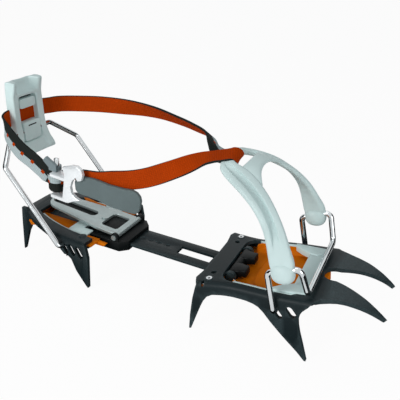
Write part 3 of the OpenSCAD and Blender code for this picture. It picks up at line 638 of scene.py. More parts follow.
def round_slot(start, end, radius):
    ahead = (Vector(end) - Vector(start)).normalized()
    aside = Vector((-ahead.y, ahead.x))
    ring = []
    for centre, sign in ((Vector(end), 1), (Vector(start), -1)):
        for k in range(9):
            turned = math.pi * k / 8
            outward = ahead * math.sin(turned) + aside * math.cos(turned)
            ring.append(tuple(centre + radius * sign * outward))
    return ring


# %% Pattern of the front frame
REAR_POINT = [
    (-8.2, -6), (-10.2, -13), (-13, -27), (-14.7, -39.4), (-13.3, -39.6), (-10.6, -33.2),
    (-7.6, -26), (-4.8, -19.5), (-2.6, -15), (0.2, -11.3), (4, -9.5), (10, -9.1), (20, -9.1),
    (29, -9.5),
]
SECOND_POINT = [
    (34.5, -10.4), (38.5, -12), (42, -15.2), (46.7, -21.2), (56, -32), (66, -43),
    (70.8, -49.2), (72, -49.3), (70.6, -41.5), (69.2, -34), (67.8, -27), (67, -21),
    (66.9, -16), (67.9, -11.7), (69.8, -8.3), (71.9, -6.1),
]
FRONT_POINT = [
    (85.8, 31.5), (91, 29.4), (96.5, 28.0), (102.2, 26.9), (112.3, 24.2), (118.5, 22.2),
    (120.8, 21.3), (121.5, 20.4), (115.4, 18.7), (107, 15.8), (99.1, 13.1), (90.3, 9.8),
]
NOTCH = []
for k in range(9):
    a = math.pi / 2 * k / 8
    NOTCH.append((86 - 10.6 * math.sin(a) ** 0.75, 8.3 * max(0.0, math.cos(a)) ** 0.75))
half_pattern = [deck(-8, y) for y in (0, 7, 14, 21)] + [deck(-8.8, 27), deck(-9.8, 33.2), (-7.0, -0.4)]
half_pattern += [wall(x, z) for x, z in REAR_POINT + SECOND_POINT]
half_pattern += [(73.8, 2.3), (75.6, 0.2), (77.4, -1.9), (80.5, -5.0)]
half_pattern += [deck(x, y) for x, y in FRONT_POINT + NOTCH]
half_pattern += [deck(66, y) for y in (0, 7, 14, 21, 29)]
half_pattern += [(61, -5), (50, -5), (40, -5), (30, -5), (22, -5), (17, -5.2), (12.5, -6.5), (9.5, -9.5)]
half_pattern += [deck(8, 26)] + [deck(7, y) for y in (22, 14, 7, 0)] + [deck(x, 0) for x in (3.5, 0, -4)]
holes = [
    round_slot(wall(51, -11), wall(54, -15.5), 2.05),
    round_slot(wall(61, -9), wall(63.4, -12.6), 2.4),
    round_slot(deck(0, 23.4), deck(0, 23.6), 2.0),
    [(-4.0, -3.4), (-2.2, -4.0), (-1.4, -1.2), (-2.4, 1.8), (-3.4, 1.0)],
]
print("front pattern:", len(half_pattern), "corners and", len(holes), "holes in each half")

# %% Fold the front frame
POINT_START = 78
POINT_LENGTH = 44
POINT_DROP = 16
POINT_CURVE = 2.5
shape = bmesh.new()
filled(shape, [half_pattern] + holes, 0)
for x in range(-10, 122, 4):
    cut(shape, (x, 0, 0), (1, 0, 0))
for k in range(7):
    cut(shape, (0, -ROLL + ROLL * math.pi / 2 * k / 6, 0), (0, 1, 0))
for vert in shape.verts:
    x, across = vert.co.x, vert.co.y
    turned = max(0.0, min(math.pi / 2, (across + ROLL) / ROLL))
    beyond = max(0.0, across + ROLL - ROLL * math.pi / 2)
    y = front_half(x) + min(across, -ROLL) + ROLL * math.sin(turned)
    z = -ROLL * (1 - math.cos(turned)) - beyond
    if x > POINT_START:
        z -= POINT_DROP * ((x - POINT_START) / POINT_LENGTH) ** POINT_CURVE
    vert.co = (x, 0 if abs(y) < 0.4 else y, z)
bmesh.ops.mirror(shape, geom=everything(shape), matrix=Matrix.Identity(4), merge_dist=0.01, axis="Y")
face_outwards(shape)
if sum(f.normal.z * f.calc_area() for f in shape.faces) < 0:
    bmesh.ops.reverse_faces(shape, faces=shape.faces)
bmesh.ops.solidify(shape, geom=shape.faces[:], thickness=SHEET)
face_outwards(shape)
print("folded sheet:", len(shape.faces), "faces")

# %% Hinge ears of the front frame
HINGE_X = 11
HINGE_Z = -4.3
EAR_Y = 18.8
EAR_RADIUS = 4.1
EAR_THICK = 3.0
EAR_ARM = Vector((4.6, EAR_THICK, 2.8))
for side in (-1, 1):
    rod(shape, EAR_RADIUS, EAR_THICK, 28, (HINGE_X, EAR_Y * side, HINGE_Z))
    for vert in bmesh.ops.create_cube(shape, size=1.0)["verts"]:
        vert.co = Vector((8.3, EAR_Y * side, -3.1)) + EAR_ARM * vert.co
laid(shape, front_spot)
finished("front_frame_sheet", shape, [black_steel], "front_frame", 40)

# %% [markdown]
# ## The front snow plate and its rim
#
# A flexible orange tray fills the opening so that snow can't ball under the foot. Its walls rise to a
# thin pale rim, and a wide pale panel with a raised lip closes the front, where the boot's toe presses.
# The rim and the tray follow the opening's outline, drawn in a little more at each level. A step and two
# beds make up the tray's floor, and small tabs of it show at its corners and in front.

# %% Tray and rim
REAR_EDGE = 13.0
FRONT_EDGE = 66.0
SILL = -8.45


def opening(inset):
    side = [(REAR_EDGE + inset, front_half(14) - 11 - inset)]
    side += [(REAR_EDGE + inset + 1.2, front_half(16) - 7.4 - inset)]
    side += [(x, front_half(x) - 5 - inset) for x in (17 + inset, 22, 30, 38, 46, 54)]
    side += [(FRONT_EDGE - 5 - inset, front_half(60) - 5 - inset)]
    side += [(FRONT_EDGE - 1.4 - inset, front_half(62) - 6.4 - inset)]
    side += [(FRONT_EDGE - inset, front_half(64) - 10 - inset)]
    return side + [(x, -y) for x, y in reversed(side)]


def levels(rows, sill=None):
    rings = []
    for inset, z in rows:
        ring = [Vector((x, y, z)) for x, y in opening(inset)]
        if sill:
            ring[0].z = ring[-1].z = min(z, sill)
        rings.append([front_spot(*place) for place in ring])
    return rings


TRAY = [(0.6, -8.9), (1.2, -3.6), (2.3, -1.1), (3.0, -1.4), (3.2, -4.6), (5.4, -7.6), (8.0, -8.5)]
tray = drawn(levels(TRAY, SILL))
finished("front_tray", tray, [snow_orange], "front_snow_plate", 30)
RIM = [(0.25, -3.0), (0.25, -0.4), (0.7, 0.0), (1.7, 0.0), (2.4, -0.5), (2.4, -1.6)]
rim = drawn(levels(RIM))
caps = [f for f in rim.faces if len(f.verts) > 4]
bmesh.ops.delete(rim, geom=caps, context="FACES_ONLY")
to_front = FRONT.inverted()
back = [f for f in rim.faces if (to_front @ f.calc_center_median()).x < 0.018]
bmesh.ops.delete(rim, geom=back, context="FACES")
finished("front_rim", rim, [pale_plastic], "front_snow_rim", 40)

# %% A helper for mouldings


def moulded(name, corners, low, high, rounding, material, node, placed=front_spot):
    shape = bmesh.new()
    shape.faces.new([shape.verts.new((x, y, low)) for x, y in corners])
    thickened(shape, (0, 0, high - low))
    bevelled(shape, sharp_edges(shape, 20), rounding, 3, True)
    laid(shape, placed)
    finished(name, shape, [material], node)


# %% Front panel, lip, blocks and tray floor
PANEL = [(59.5, -31.5), (70, -31), (73.6, -28), (73.6, 28), (70, 31), (59.5, 31.5)]
moulded("front_panel", PANEL, -6.4, 0.5, 0.5, pale_plastic, "front_snow_rim")
LIP = [(71, -27.5), (73.9, -27.5), (73.9, 27.5), (71, 27.5)]
moulded("front_lip", LIP, -0.5, 1.9, 0.7, pale_plastic, "front_snow_rim")
BLOCK = [(46, 33), (46.6, 29.4), (53, 24.5), (61, 20.5), (66, 20), (70.5, 23), (70.5, 31)]
CORNER = [(-5, 35.6), (-0.4, 35), (-0.4, 37.4), (-5, 38)]
BED = [(-4, 14), (30, 14), (30, 33.5), (14, 35), (-4, 36)]
for side, word in SIDES:
    block, corner, bed = (on_side(corners, side) for corners in (BLOCK, CORNER, BED))
    moulded("front_block_" + word, block, -4, 1.3, 0.9, pale_plastic, "front_snow_rim")
    moulded("tray_corner_" + word, corner, -6.4, -3.2, 0.4, snow_orange, "front_snow_plate")
    moulded("tray_bed_" + word, bed, -9.2, -8.4, 0.2, snow_orange, "front_snow_plate")
STEP = [
    (60, -29), (60, 29), (34, 27), (30, 22), (27.5, 12),
    (26.5, 0), (27.5, -12), (30, -22), (34, -27),
]
moulded("tray_step", STEP, -9.0, -7.2, 0.5, snow_orange, "front_snow_plate")
TONGUE = [(73, -5), (78.4, -5), (78.4, 8), (73, 8)]
moulded("tray_tongue", TONGUE, -9.6, -3.2, 0.5, snow_orange, "front_snow_plate")

# %% [markdown]
# ## The hinge yoke
#
# The bar ends in a moulded yoke: a barrel on the hinge pin with two thick lobes in front of it that stop
# against the tray, and a flat base and apron below. The barrel is a plain cylinder with broken ends, and
# the rest are bevelled blocks.

# %% Yoke
BARREL_RADIUS = 3.7
BARREL_LENGTH = 33.4
shape = bmesh.new()
rod(shape, BARREL_RADIUS, BARREL_LENGTH, 32, (HINGE_X, 0, HINGE_Z))
bevelled(shape, sharp_edges(shape, 40), 0.4)
laid(shape, front_spot)
finished("yoke_barrel", shape, [black_plastic], "bar_yoke")
for word, low_y, high_y in (("inner", 2.8, 14.5), ("outer", -16, -4.4)):
    lobe = [(9, low_y), (16, low_y), (18, low_y + 1.2), (21.5, low_y + 1.2)]
    lobe += [(21.5, high_y - 1.2), (18, high_y - 1.2), (16, high_y), (9, high_y)]
    moulded("yoke_lobe_" + word, lobe, -6.6, -0.6, 1.1, black_plastic, "bar_yoke")
APRON = [(6, -16.4), (15, -16.4), (15, 16.4), (6, 16.4)]
moulded("yoke_apron", APRON, -7.6, -6.4, 0.3, black_plastic, "bar_yoke")
BASE = [(0.5, -14), (9, -14), (9, 14), (0.5, 14)]
moulded("yoke_base", BASE, -6.4, -4.8, 0.4, black_plastic, "bar_yoke")

# %% [markdown]
# ## The heel frame
#
# The heel frame is folded from the same steel, with arms that reach round the heel. Its platform edges
# are rolled by a wide bevel of several segments first. The remaining edges are only broken, and those
# round the wire's slots are left sharp.

# %% Heel frame
MIDLINE = -0.002
ARMS_FROM = 0.034
FOLD_RADIUS = 0.003
EDGE_BREAK = 0.0003
SLOTS_LOW = spot(48, 0, 22)
SLOTS_HIGH = spot(73, 0, 34.5)


def at_a_fold(edge):
    flats = [f for f in edge.link_faces if f.normal.z > 0.97]
    walls = [f for f in edge.link_faces if abs(f.normal.y) > 0.6 and abs(f.normal.z) < 0.3]
    return flats and walls and all(abs(v.co.y - MIDLINE) > ARMS_FROM for v in edge.verts)


def near_slots(place):
    return SLOTS_LOW.x < place.x < SLOTS_HIGH.x and SLOTS_LOW.z < place.z < SLOTS_HIGH.z


shape = joined_copy("heel_frame")
shape.normal_update()
folds = [e for e in sharp_edges(shape, 40) if at_a_fold(e)]
print("heel frame rolled along", len(folds), "edges")
bevelled(shape, folds, FOLD_RADIUS, 4)
plain = [e for e in sharp_edges(shape) if not all(near_slots(v.co) for v in e.verts)]
bevelled(shape, plain, EDGE_BREAK)
finished("heel_frame_dressed", shape, [black_steel], "heel_frame")

# %% [markdown]
# ## The heel tray's floor
#
# In the heel the orange tray covers the bar from above, apart from the strip under the adjuster where
# its dimples must be reached. Each side is one flat moulding that follows the frame's curve. A flange
# stands up along the inner side, and two lips show beside the outer arm, one behind and one in front.

# %% Heel tray floor


def sideways(x, z, y):
    return spot(x, -y, z)


FLOOR = [(4, 8), (4, 11), (10, 14.2), (20, 18.6), (30, 22), (40, 24.6), (47, 26), (47, 8)]
for side, word in SIDES:
    half = on_side(FLOOR, side)
    moulded("heel_floor_" + word, half, 35.0, 35.9, 0.3, snow_orange, "heel_snow_plate", spot)
FLANGE = [(26.3, 24.5), (33, 24.9), (44, 22.6), (54, 22), (55, 18), (45.7, 18.2), (34, 19.5)]
moulded("heel_tray_flange", FLANGE, 35.6, 41.2, 0.5, snow_orange, "heel_snow_plate", spot)
REAR_LIP = [(3, 33.5), (5, 28.8), (14, 30.8), (17, 34)]
moulded("heel_tray_rear", REAR_LIP, 20, 22.5, 0.4, snow_orange, "heel_snow_plate", sideways)
FRONT_LIP = [(69, 33.2), (72.5, 37.4), (90, 37), (87, 34), (80, 34)]
moulded("heel_tray_front", FRONT_LIP, 24, 27, 0.4, snow_orange, "heel_snow_plate", sideways)

# %% [markdown]
# ## The length adjuster
#
# The adjuster is a stamped steel lever that turns on a pin at the front of the guide. Its outline, the
# long slot and the square window are cut from sheet, so it is filled between those edges and given its
# thickness. A black lining below shows through both openings, where the real one shows the guide's black
# moulding; the lining is also painted shade for the dark space under the plate.

# %% Adjuster plate
SLOPE = math.radians(4.5)
PIN_X = 93
PIN_Z = 40.5
PLATE_THICK = 2.5
TAIL_X = -69
TAIL_RADIUS = 11
KNUCKLE_RADIUS = 2.2
KNUCKLE_LENGTH = 32.8


def adjuster_spot(x, y, z):
    ahead = PIN_X + x * math.cos(SLOPE) + z * math.sin(SLOPE)
    return spot(ahead, y, PIN_Z - x * math.sin(SLOPE) + z * math.cos(SLOPE))


tail = []
for degrees in range(0, 181, 15):
    a = math.radians(degrees)
    tail.append((TAIL_X - TAIL_RADIUS * math.sin(a), TAIL_RADIUS * math.cos(a)))
plate = [(0, -16.5), (0, 16.5), (-20, 16.5)] + tail + [(-20, -16.5)]
window = [
    (-4.5, -8.6), (-6, -10.2), (-18.5, -10.2), (-20.5, -8.2),
    (-20.5, 8.2), (-18.5, 10.2), (-6, 10.2), (-4.5, 8.6),
]
shape = bmesh.new()
filled(shape, [plate, window, round_slot((-74, 0), (-36, 0), 4.2)], PLATE_THICK / 2)
thickened(shape, (0, 0, -PLATE_THICK))
bevelled(shape, sharp_edges(shape, 40), 0.35)
rod(shape, KNUCKLE_RADIUS, KNUCKLE_LENGTH, 24, (0, 0, 0))
laid(shape, adjuster_spot)
finished("adjuster_plate", shape, [bright_steel], "adjuster_lever")
# Painted shade: a black lining under the slot and the window.
SHADE_LINING = [(-77, -7), (-26, -7), (-21, -10.4), (-5, -10.4), (-5, 10.4), (-21, 10.4), (-26, 7), (-77, 7)]
moulded("adjuster_shade_lining", SHADE_LINING, -2.0, -1.3, 0.1, black_plastic, "adjuster_lever", adjuster_spot)

# %% [markdown]
# ## The buckle pad
#
# A stiff grey pad keeps the buckle off the boot. It hangs on the strap by a neck behind the hook and
# widens into a rounded plate, about three millimetres thick. Its outline is drawn from the side.

# %% Buckle pad
PAD = [
    (76.2, 89), (76.2, 95), (78, 98.6), (84.6, 100.6), (93, 101.2), (99.2, 100.6), (107, 99.6),
    (119, 99.6), (127.6, 100.4), (131.6, 99.2), (134, 96.4), (134.6, 93), (133.4, 86.6),
    (131.8, 83.6), (129, 82), (123.5, 81.6), (107.7, 82.3), (97, 84.6), (87.9, 85.6), (80.3, 85.8),
    (77.4, 87),
]
moulded("buckle_pad_plate", PAD, 38.3, 41.2, 0.6, pad_grey, "buckle_pad", sideways)

# %% [markdown]
# ## The ankle strap
#
# One band runs all the way: from its loop round the buckle's pin, back along the outer side, behind the
# heel lever, forward along the inner side, through the harness and back to the buckle. It is drawn as
# one line with the direction of its upper edge at each point, and then cut where it passes from one
# moving body to the next, so that it bends with the bails and the bar.

# %% Places along the strap
# Each row is a place in millimetres, and how far sideways and upwards the band's upper edge points.
REAR = [
    (41, -33.8, 93, 0, 1), (46.5, -32.4, 90.8, 0, 1), (51, -30.8, 89.2, 0, 1),
    (55, -30.4, 88.8, 0, 1), (58.9, -32.2, 88.6, 0, 1), (60.2, -36, 88.6, 0, 1),
    (58.6, -39.9, 88.7, 0, 1), (54.6, -41.6, 88.8, 0, 1), (50.3, -39.9, 89.2, 0, 1),
    (47.4, -37.2, 91.2, 0.1, 1), (42, -37.2, 95.3, 0.1, 1), (32.7, -37.2, 101.3, 0.2, 1),
    (20, -36, 106.5, 0.3, 1), (10, -33.2, 111.3, 0.3, 1), (0.4, -29, 115.5, 0.2, 1),
    (-5.8, -24.8, 119.5, 0, 1), (-8, -19.5, 122.3, 0, 1), (-8, 0, 123, 0, 1),
]
FAR = [
    (-8, 14, 123, 0, 1), (-8, 20, 123, 0, 1), (-4.5, 26, 123, 0, 1),
    (3, 32, 124, 0, 1), (20, 37, 125.5, 0, 1), (40, 41, 127, 0, 1),
    (60, 43, 128, -0.1, 1), (80, 43, 129, -0.4, 1), (101, 40, 129.5, -0.7, 1),
    (123, 34, 129, -1, 1.05), (139.5, 29, 128, -1, 0.95), (155, 22.5, 127, -1, 0.7),
    (164, 13.5, 124, -1, 0.35),
]
NEAR = [
    (167, -15, 123, -1, -0.5), (153.5, -25.5, 117, -0.7, -0.8), (137.5, -32.5, 110, -0.3, -1),
    (124, -35.5, 105.7, -0.15, -1), (108, -36.4, 102, -0.1, -1), (97, -37, 99.5, 0, -1),
    (84, -37, 98, 0, -1), (74, -37, 96.8, 0, -1),
]
print(len(REAR + FAR + NEAR), "places along the strap")

# %% The fold through the harness
BAR_X = 11.5
BAR_Z = 82.5
FOLD = 4.4
SLANT = math.radians(22)
LEAN = Matrix.Rotation(math.radians(14), 3, "X")
FOLD_MIDDLE = Vector((BAR_X, 0, BAR_Z))
FOLD_SHIFT = Vector((0, -2.5, 0))
quarter = FOLD * math.pi / 2
walks = [-quarter - 12, -quarter - 6, -quarter]
walks += [quarter * k / 3 for k in range(-2, 3)]
walks += [quarter, quarter + 6, quarter + 12]
fold_places = []
for walk in walks:
    angle = max(-1, min(1, walk / quarter)) * math.pi / 2
    straight = max(0, abs(walk) - quarter)
    ahead = Vector((-math.sin(angle), 0, math.cos(angle)))
    x = BAR_X + FOLD * math.cos(angle) - straight
    place = Vector((x, -walk * math.tan(SLANT), BAR_Z + FOLD * math.sin(angle)))
    upright = -math.sin(SLANT) * ahead - math.cos(SLANT) * Vector((0, 1, 0))
    place = LEAN @ (place - FOLD_MIDDLE) + FOLD_MIDDLE + FOLD_SHIFT
    fold_places.append((front_spot(*place), FRONT.to_3x3() @ (LEAN @ upright)))
print("fold:", len(fold_places), "places")

# %% The strap's line
STEPS = 6


def strap_places(rows):
    return [(spot(x, y, z), Vector((0, aside, up))) for x, y, z, aside, up in rows]


route = strap_places(REAR + FAR) + fold_places + strap_places(NEAR)
line = flowing([p for p, u in route], STEPS)
uprights = flowing([u.normalized() for p, u in route], STEPS)
walked = [0.0]
for a, b in zip(line, line[1:]):
    walked.append(walked[-1] + (b - a).length)
print("strap length", round(walked[-1], 3), "m")

# %% Helpers that make one length of the strap
HALF_WIDE = 0.007
HALF_THICK = 0.0009
STRAP_SECTION = [
    (-1, -0.5), (-0.94, -1), (0, -1), (0.94, -1), (1, -0.5),
    (1, 0.5), (0.94, 1), (0, 1), (-0.94, 1), (-1, 0.5),
]
ORANGE, DARK, EDGE = 0, 1, 2
STRAP_SIDES = [EDGE, DARK, DARK, EDGE, EDGE, EDGE, ORANGE, ORANGE, EDGE, EDGE]


def strap_ring(i):
    ahead = (line[min(i + 1, len(line) - 1)] - line[max(i - 1, 0)]).normalized()
    inner = ahead.cross(uprights[i]).normalized()
    upper = inner.cross(ahead).normalized()
    return [line[i] + upper * (HALF_WIDE * a) + inner * (HALF_THICK * b) for a, b in STRAP_SECTION]


def strap_length(name, first, last, node, flip=1):
    a, b = first * STEPS, last * STEPS
    shape = drawn([strap_ring(i) for i in range(a, b + 1)], walked[a:b + 1])
    corner = shape.verts.layers.int["corner"]
    along = shape.verts.layers.float["along"]
    weave = shape.loops.layers.uv.new("weave")
    closing = len(STRAP_SECTION) - 1
    for face in shape.faces:
        ids = sorted({v[corner] for v in face.verts})
        segment = ids[0] if ids != [0, closing] else closing
        face.material_index = STRAP_SIDES[segment] if len(ids) == 2 else EDGE
        for loop in face.loops:
            across = STRAP_SECTION[loop.vert[corner]][0] * HALF_WIDE * flip
            loop[weave].uv = (across, loop.vert[along])
    return finished(name, shape, [strap_orange, strap_dark, strap_edge], node, rides=False)


def crossing(name, first, last, node, *bodies):
    piece = strap_length(name, first, last, node)
    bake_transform(piece, *bodies, start=line[first * STEPS], end=line[last * STEPS])


# %% The strap's lengths
loop_band = strap_length("strap_loop_band", 0, 9, "strap_loop", -1)
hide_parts("strap_tail")
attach(loop_band, "heel")
crossing("strap_rear_band", 9, 14, "strap_rear", "heel", "heel_bail")
crossing("strap_rear_curl", 14, 16, "strap_rear", "heel_bail", "heel_lever")
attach(strap_length("strap_heel_band", 16, 19, "strap_heel"), "heel_lever")
crossing("strap_far_curl", 19, 21, "strap_far", "heel_lever", "heel_bail")
crossing("strap_far_back", 21, 23, "strap_far", "heel_bail", "heel")
crossing("strap_far_slide", 23, 24, "strap_far", "heel", "bar")
crossing("strap_far_middle", 24, 26, "strap_far", "bar", "front")
crossing("strap_far_front", 26, 32, "strap_far", "front", "toe_bail")
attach(strap_length("strap_fold", 32, 41, "strap_toe"), "toe_bail")
crossing("strap_near_front", 41, 45, "strap_near", "toe_bail", "front")
crossing("strap_near_middle", 45, 48, "strap_near", "front", "bar")
crossing("strap_near_slide", 48, 49, "strap_near", "bar", "heel")

# %% [markdown]
# ## The toe harness
#
# The harness is one soft-edged moulding: two legs rise from the sleeves on the toe wire, lean in over
# the boot and meet in a loop that carries the strap, with a bridge across the front. A groove runs along
# the outer face of each leg and makes it bend like a hinge. Legs and bridge are drawn from side to side
# through sections that follow their two edges, and a subdivision surface rounds them. The sleeves are
# rounded caps over the foot of each leg.

# %% Harness legs and loop
GROOVE_DEPTH = 3.0
INSIDE = Vector((40, 0, 30))
LEG = [
    ((53, 42.6, 19.6), (64.4, 42.6, 22.4), 5.0, 0), ((50.6, 42.5, 22.4), (66.2, 42.2, 25.5), 6.4, 0),
    ((49.4, 42.4, 27), (66, 41.2, 30), 6.8, 0), ((48.6, 42.3, 32), (64.4, 40, 34), 6.4, 0),
    ((47.8, 42, 38), (61.8, 37.8, 39.5), 5.6, 0),
    ((46.8, 41.6, 44), (59.3, 35.6, 45.5), 4.9, 0.7), ((45.3, 41, 51), (56, 33, 52), 4.8, 1),
    ((39, 38.5, 62.5), (48, 27, 63.5), 4.6, 1), ((27, 33, 72), (38, 20, 72.5), 4.6, 1),
    ((14, 25.5, 77.5), (28, 14.5, 79), 4.6, 0.9), ((7, 18, 80.8), (17.5, 12.5, 82), 4.8, 0),
    ((7.4, 10, 82), (14.8, 9, 82.7), 5.2, 0), ((8.4, 0, 82.5), (14.4, 0, 82.5), 5.6, 0),
]
LEG_SECTION = [
    (-1, 0.2, 0), (-0.88, 1, 0), (-0.48, 1, 0), (-0.43, 1, 0), (-0.4, 1, 1), (-0.34, 1, 1),
    (0.16, 1, 0.9), (0.2, 1, 0.9), (0.24, 1, 0), (0.3, 1, 0), (0.88, 1, 0), (1, 0.2, 0),
    (1, -0.2, 0), (0.85, -1, 0), (0, -1, 0), (-0.85, -1, 0), (-1, -0.2, 0),
]


def both_halves(rows):
    flip = Vector((1, -1, 1))
    others = reversed(rows[:-1])
    return rows + [(Vector(rear) * flip, Vector(fore) * flip, *rest) for rear, fore, *rest in others]


path = both_halves(LEG)
rears = [Vector(p[0]) for p in path]
fronts = [Vector(p[1]) for p in path]
rings = []
for i, (rear, fore) in enumerate(zip(rears, fronts)):
    thick, groove = path[i][2:]
    before, after = max(i - 1, 0), min(i + 1, len(path) - 1)
    ahead = rears[after] + fronts[after] - rears[before] - fronts[before]
    middle = (rear + fore) / 2
    half = (fore - rear) / 2
    out = half.cross(ahead).normalized()
    if out.dot(middle - INSIDE) < 0:
        out = -out
    ring = []
    for a, b, sunk in LEG_SECTION:
        height = thick / 2 * b - GROOVE_DEPTH * sunk * groove
        ring.append(front_spot(*(middle + half * a + out * height)))
    rings.append(ring)
finished("harness_legs", drawn(rings), [pale_plastic], "toe_harness", 60, 2)

# %% Harness bridge
BRIDGE = [
    ((19.5, -20.5, 78.6), (41.5, -25, 68.2), 2.6), ((22, -15.5, 80.2), (38.2, -18.6, 73.4), 3.6),
    ((24, -10, 81.4), (35, -12, 77.6), 4.0), ((24.8, 0, 82), (33.8, 0, 79.8), 4.0),
]
BRIDGE_SECTION = [
    (0, 0.3), (0.1, 1), (0.5, 1.1), (0.9, 1), (1, 0.3),
    (1, -0.3), (0.9, -1), (0.1, -1), (0, -0.3),
]
rings = []
for rear, fore, thick in both_halves(BRIDGE):
    ring = []
    for u, w in BRIDGE_SECTION:
        place = Vector(rear).lerp(Vector(fore), u) + Vector((0, 0, thick / 2 * w))
        ring.append(front_spot(*place))
    rings.append(ring)
finished("harness_bridge", drawn(rings), [pale_plastic], "toe_harness", 60, 2)

# %% Harness sleeves
SLEEVE = Vector((58.4, 42.4, 22.0))
SLEEVE_HALF = Vector((8.2, 5.8, 7.8))
SQUARENESS = 0.86
for side, word in SIDES:
    shape = bmesh.new()
    bmesh.ops.create_uvsphere(shape, u_segments=40, v_segments=24, radius=1.0)
    for vert in shape.verts:
        x, z = (math.copysign(abs(c) ** SQUARENESS, c) for c in (vert.co.x, vert.co.z))
        place = SLEEVE + SLEEVE_HALF * Vector((x, vert.co.y, z))
        vert.co = front_spot(place.x, place.y * side, place.z)
    face_outwards(shape)
    finished("harness_sleeve_" + word, shape, [pale_plastic], "toe_harness", 60)

# %% [markdown]
# ## The heel lever
#
# The lever is a moulding with thick side rails, a scoop at the top for the thumb, a window that shows
# the strap, and a foot that flares forward over the boot's welt. It starts as a block that is cut into
# rows and columns. Each row is then given its depth and width from the tables, and the window is pressed
# in as a pocket whose walls and floor are painted black as painted shade.

# %% Sections of the lever
LEVER = spot(-3.5, 0, 109)
ROWS = [-19, -17.5, -14, -10.5, -9, -4, 3, 12, 21, 29.5, 31, 32.6, 34, 37, 41, 43.5]
COLUMNS = [-1, -0.9, -0.72, -0.64, -0.58, -0.3, 0, 0.3, 0.58, 0.64, 0.72, 0.9, 1]
FACE = [(-19, 7.5), (-17, 9.5), (-9, 4.5), (3, 1.5), (31, 1.5), (43.5, 4.6)]
BACK = [(-19, 5.5), (-13, -4.5), (3, -7.5), (26, -7.5), (43.5, -6.5)]
HALF = [(-19, 19.5), (-14, 19.5), (-2, 17.5), (43.5, 16.5)]
HOLLOW = [
    (-19, 0.6), (-17, 1.2), (-13, 4.0), (-9, 2.6), (-4, 0.1), (3, 0.0), (12, 0.8), (31, 0.5),
    (32.6, 0.9), (34, 4.4), (37, 7.4), (43.5, 9.6),
]
RAIL_FROM = 0.72
RAIL_SLOPE = 0.14
WINDOW_HALF = 0.58
WINDOW_DEPTH = 0.0064


def along_table(table, z):
    for (z0, a), (z1, b) in zip(table, table[1:]):
        if z <= z1:
            return a + (b - a) * max(0, (z - z0) / (z1 - z0))
    return table[-1][1]


def lever_spot(x, y, z):
    return LEVER + Vector((x, y, z)) / 1000


print("lever:", len(ROWS), "rows and", len(COLUMNS), "columns")

# %% Lever shell
shape = bmesh.new()
bmesh.ops.create_cube(shape, size=2.0)
last = len(ROWS) - 1
for u in COLUMNS[1:-1]:
    cut(shape, (0, u, 0), (0, 1, 0))
for k in range(1, last):
    cut(shape, (0, 0, -1 + 2 * k / last), (0, 0, 1))
window = []
for face in shape.faces:
    middle = face.calc_center_median()
    row = (middle.z + 1) / 2 * last
    in_rows = ROWS.index(-9) < row < ROWS.index(29.5)
    if middle.x > 0.9 and abs(middle.y) < WINDOW_HALF and in_rows:
        window.append(face)
for vert in shape.verts:
    u, front_side = vert.co.y, vert.co.x > 0
    z = ROWS[round((vert.co.z + 1) / 2 * last)]
    inside = min(1, max(0, (RAIL_FROM - abs(u)) / RAIL_SLOPE))
    x = along_table(FACE, z) - inside * along_table(HOLLOW, z) if front_side else along_table(BACK, z)
    if z > 40:
        z -= (1.5 if front_side else 0.5) * (1 - abs(u))
    vert.co = lever_spot(x, u * along_table(HALF, z), z)
made = bmesh.ops.extrude_face_region(shape, geom=window)["geom"]
bmesh.ops.delete(shape, geom=window, context="FACES")
bmesh.ops.translate(shape, vec=(-WINDOW_DEPTH, 0, 0), verts=verts_of(made))
# The pocket's walls and floor take the black plastic as painted shade.
for face in made:
    if isinstance(face, bmesh.types.BMFace):
        face.material_index = 1
face_outwards(shape)
finished("lever_shell", shape, [pale_plastic, black_plastic], "heel_lever", 60, 2)

# %% [markdown]
# ## The lever's panel
#
# Inside the window sits a flat pale panel in two parts, above and below the strap, with a thin black strip
# on the lower one as painted shade for its slot. All three are thin plates with rounded corners.

# %% Lever panel


def lever_plate(name, low, high, half, x, thick, corner=2.2, material=pale_plastic):
    shape = bmesh.new()
    bmesh.ops.create_grid(shape, x_segments=1, y_segments=1, size=1.0)
    for vert in shape.verts:
        vert.co = (x, vert.co.x * half, low + (vert.co.y + 1) / 2 * (high - low))
    bevelled(shape, shape.verts[:], corner, 5, affect="VERTICES")
    thickened(shape, (-thick, 0, 0))
    bevelled(shape, sharp_edges(shape, 60), corner / 7)
    laid(shape, lever_spot)
    finished(name, shape, [material], "lever_insert")


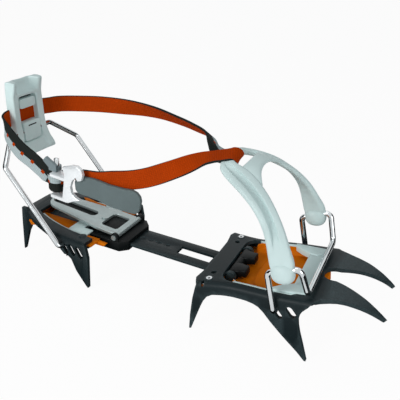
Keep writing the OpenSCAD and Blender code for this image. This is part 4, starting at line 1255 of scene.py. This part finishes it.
lever_plate("lever_panel_upper", 19.4, 27.4, 8.7, 0.2, 4.2)
lever_plate("lever_panel_lower", -8.2, 8.2, 9.3, 2.6, 6.0)
# A thin black strip on the lower panel is painted shade standing for its slot.
lever_plate("lever_slot_painted_shade", 4.4, 5.5, 4.6, 2.66, 0.5, 0.3, black_plastic)

# %% [markdown]
# ## Wires
#
# Both bails and the buckle's pin are polished spring wire. The solids have the right bends but are
# faceted, and a mirror finish shows every facet. A merged copy keeps the same points and is shaded
# smooth along its length.

# %% Polished wires
for node in ("toe_wire", "heel_wire", "buckle_pin"):
    finished(node + "_polished", merged_copy(node), [wire_chrome], node, 50)

# %% [markdown]
# ## Rivet heads
#
# The rivets that show have a polished button in a dark sunk head, with a small driven mark in its
# middle. The button's flat top is inset and its middle pressed in, and only the ring that is left is
# polished.

# %% Rivet heads
RING_WIDE = 0.0013
MARK_DEEP = 0.0003
UP = Vector((0, 0, 1))
for node, up in (("front_rivets", FRONT.to_3x3() @ UP), ("heel_rivets", UP)):
    shape = joined_copy(node)
    shape.normal_update()
    heads = [f for f in shape.faces if f.normal.dot(up) > 0.95]
    top = max(f.calc_center_median().dot(up) for f in heads)
    heads = [f for f in heads if f.calc_center_median().dot(up) > top - 0.0003]
    for face in heads:
        face.material_index = 1
    bmesh.ops.inset_individual(shape, faces=heads, thickness=RING_WIDE, depth=0.0)
    for face in heads:
        face.material_index = 0
        bmesh.ops.translate(shape, vec=up * -MARK_DEEP, verts=face.verts[:])
    finished(node + "_marked", shape, [black_steel, wire_chrome], node, 30)

# %% [markdown]
# ## Solids that stay
#
# The remaining pins, rivets, the spring and the buckle's tab are right as they are in the solids, so
# they only take their finishes.

# %% Finishes on the solids that stay
for material, nodes in (
    (black_steel, ("guide_rivets", "yoke_rivets", "hinge_pin")),
    (bright_steel, ("adjuster_stud", "adjuster_pin", "adjuster_spring")),
    (tab_grey, ("buckle_lever",)),
):
    for node in nodes:
        slots = frame["nodes"][node].data.materials
        slots.clear()
        slots.append(material)
    print(material.name, "on", ", ".join(nodes))
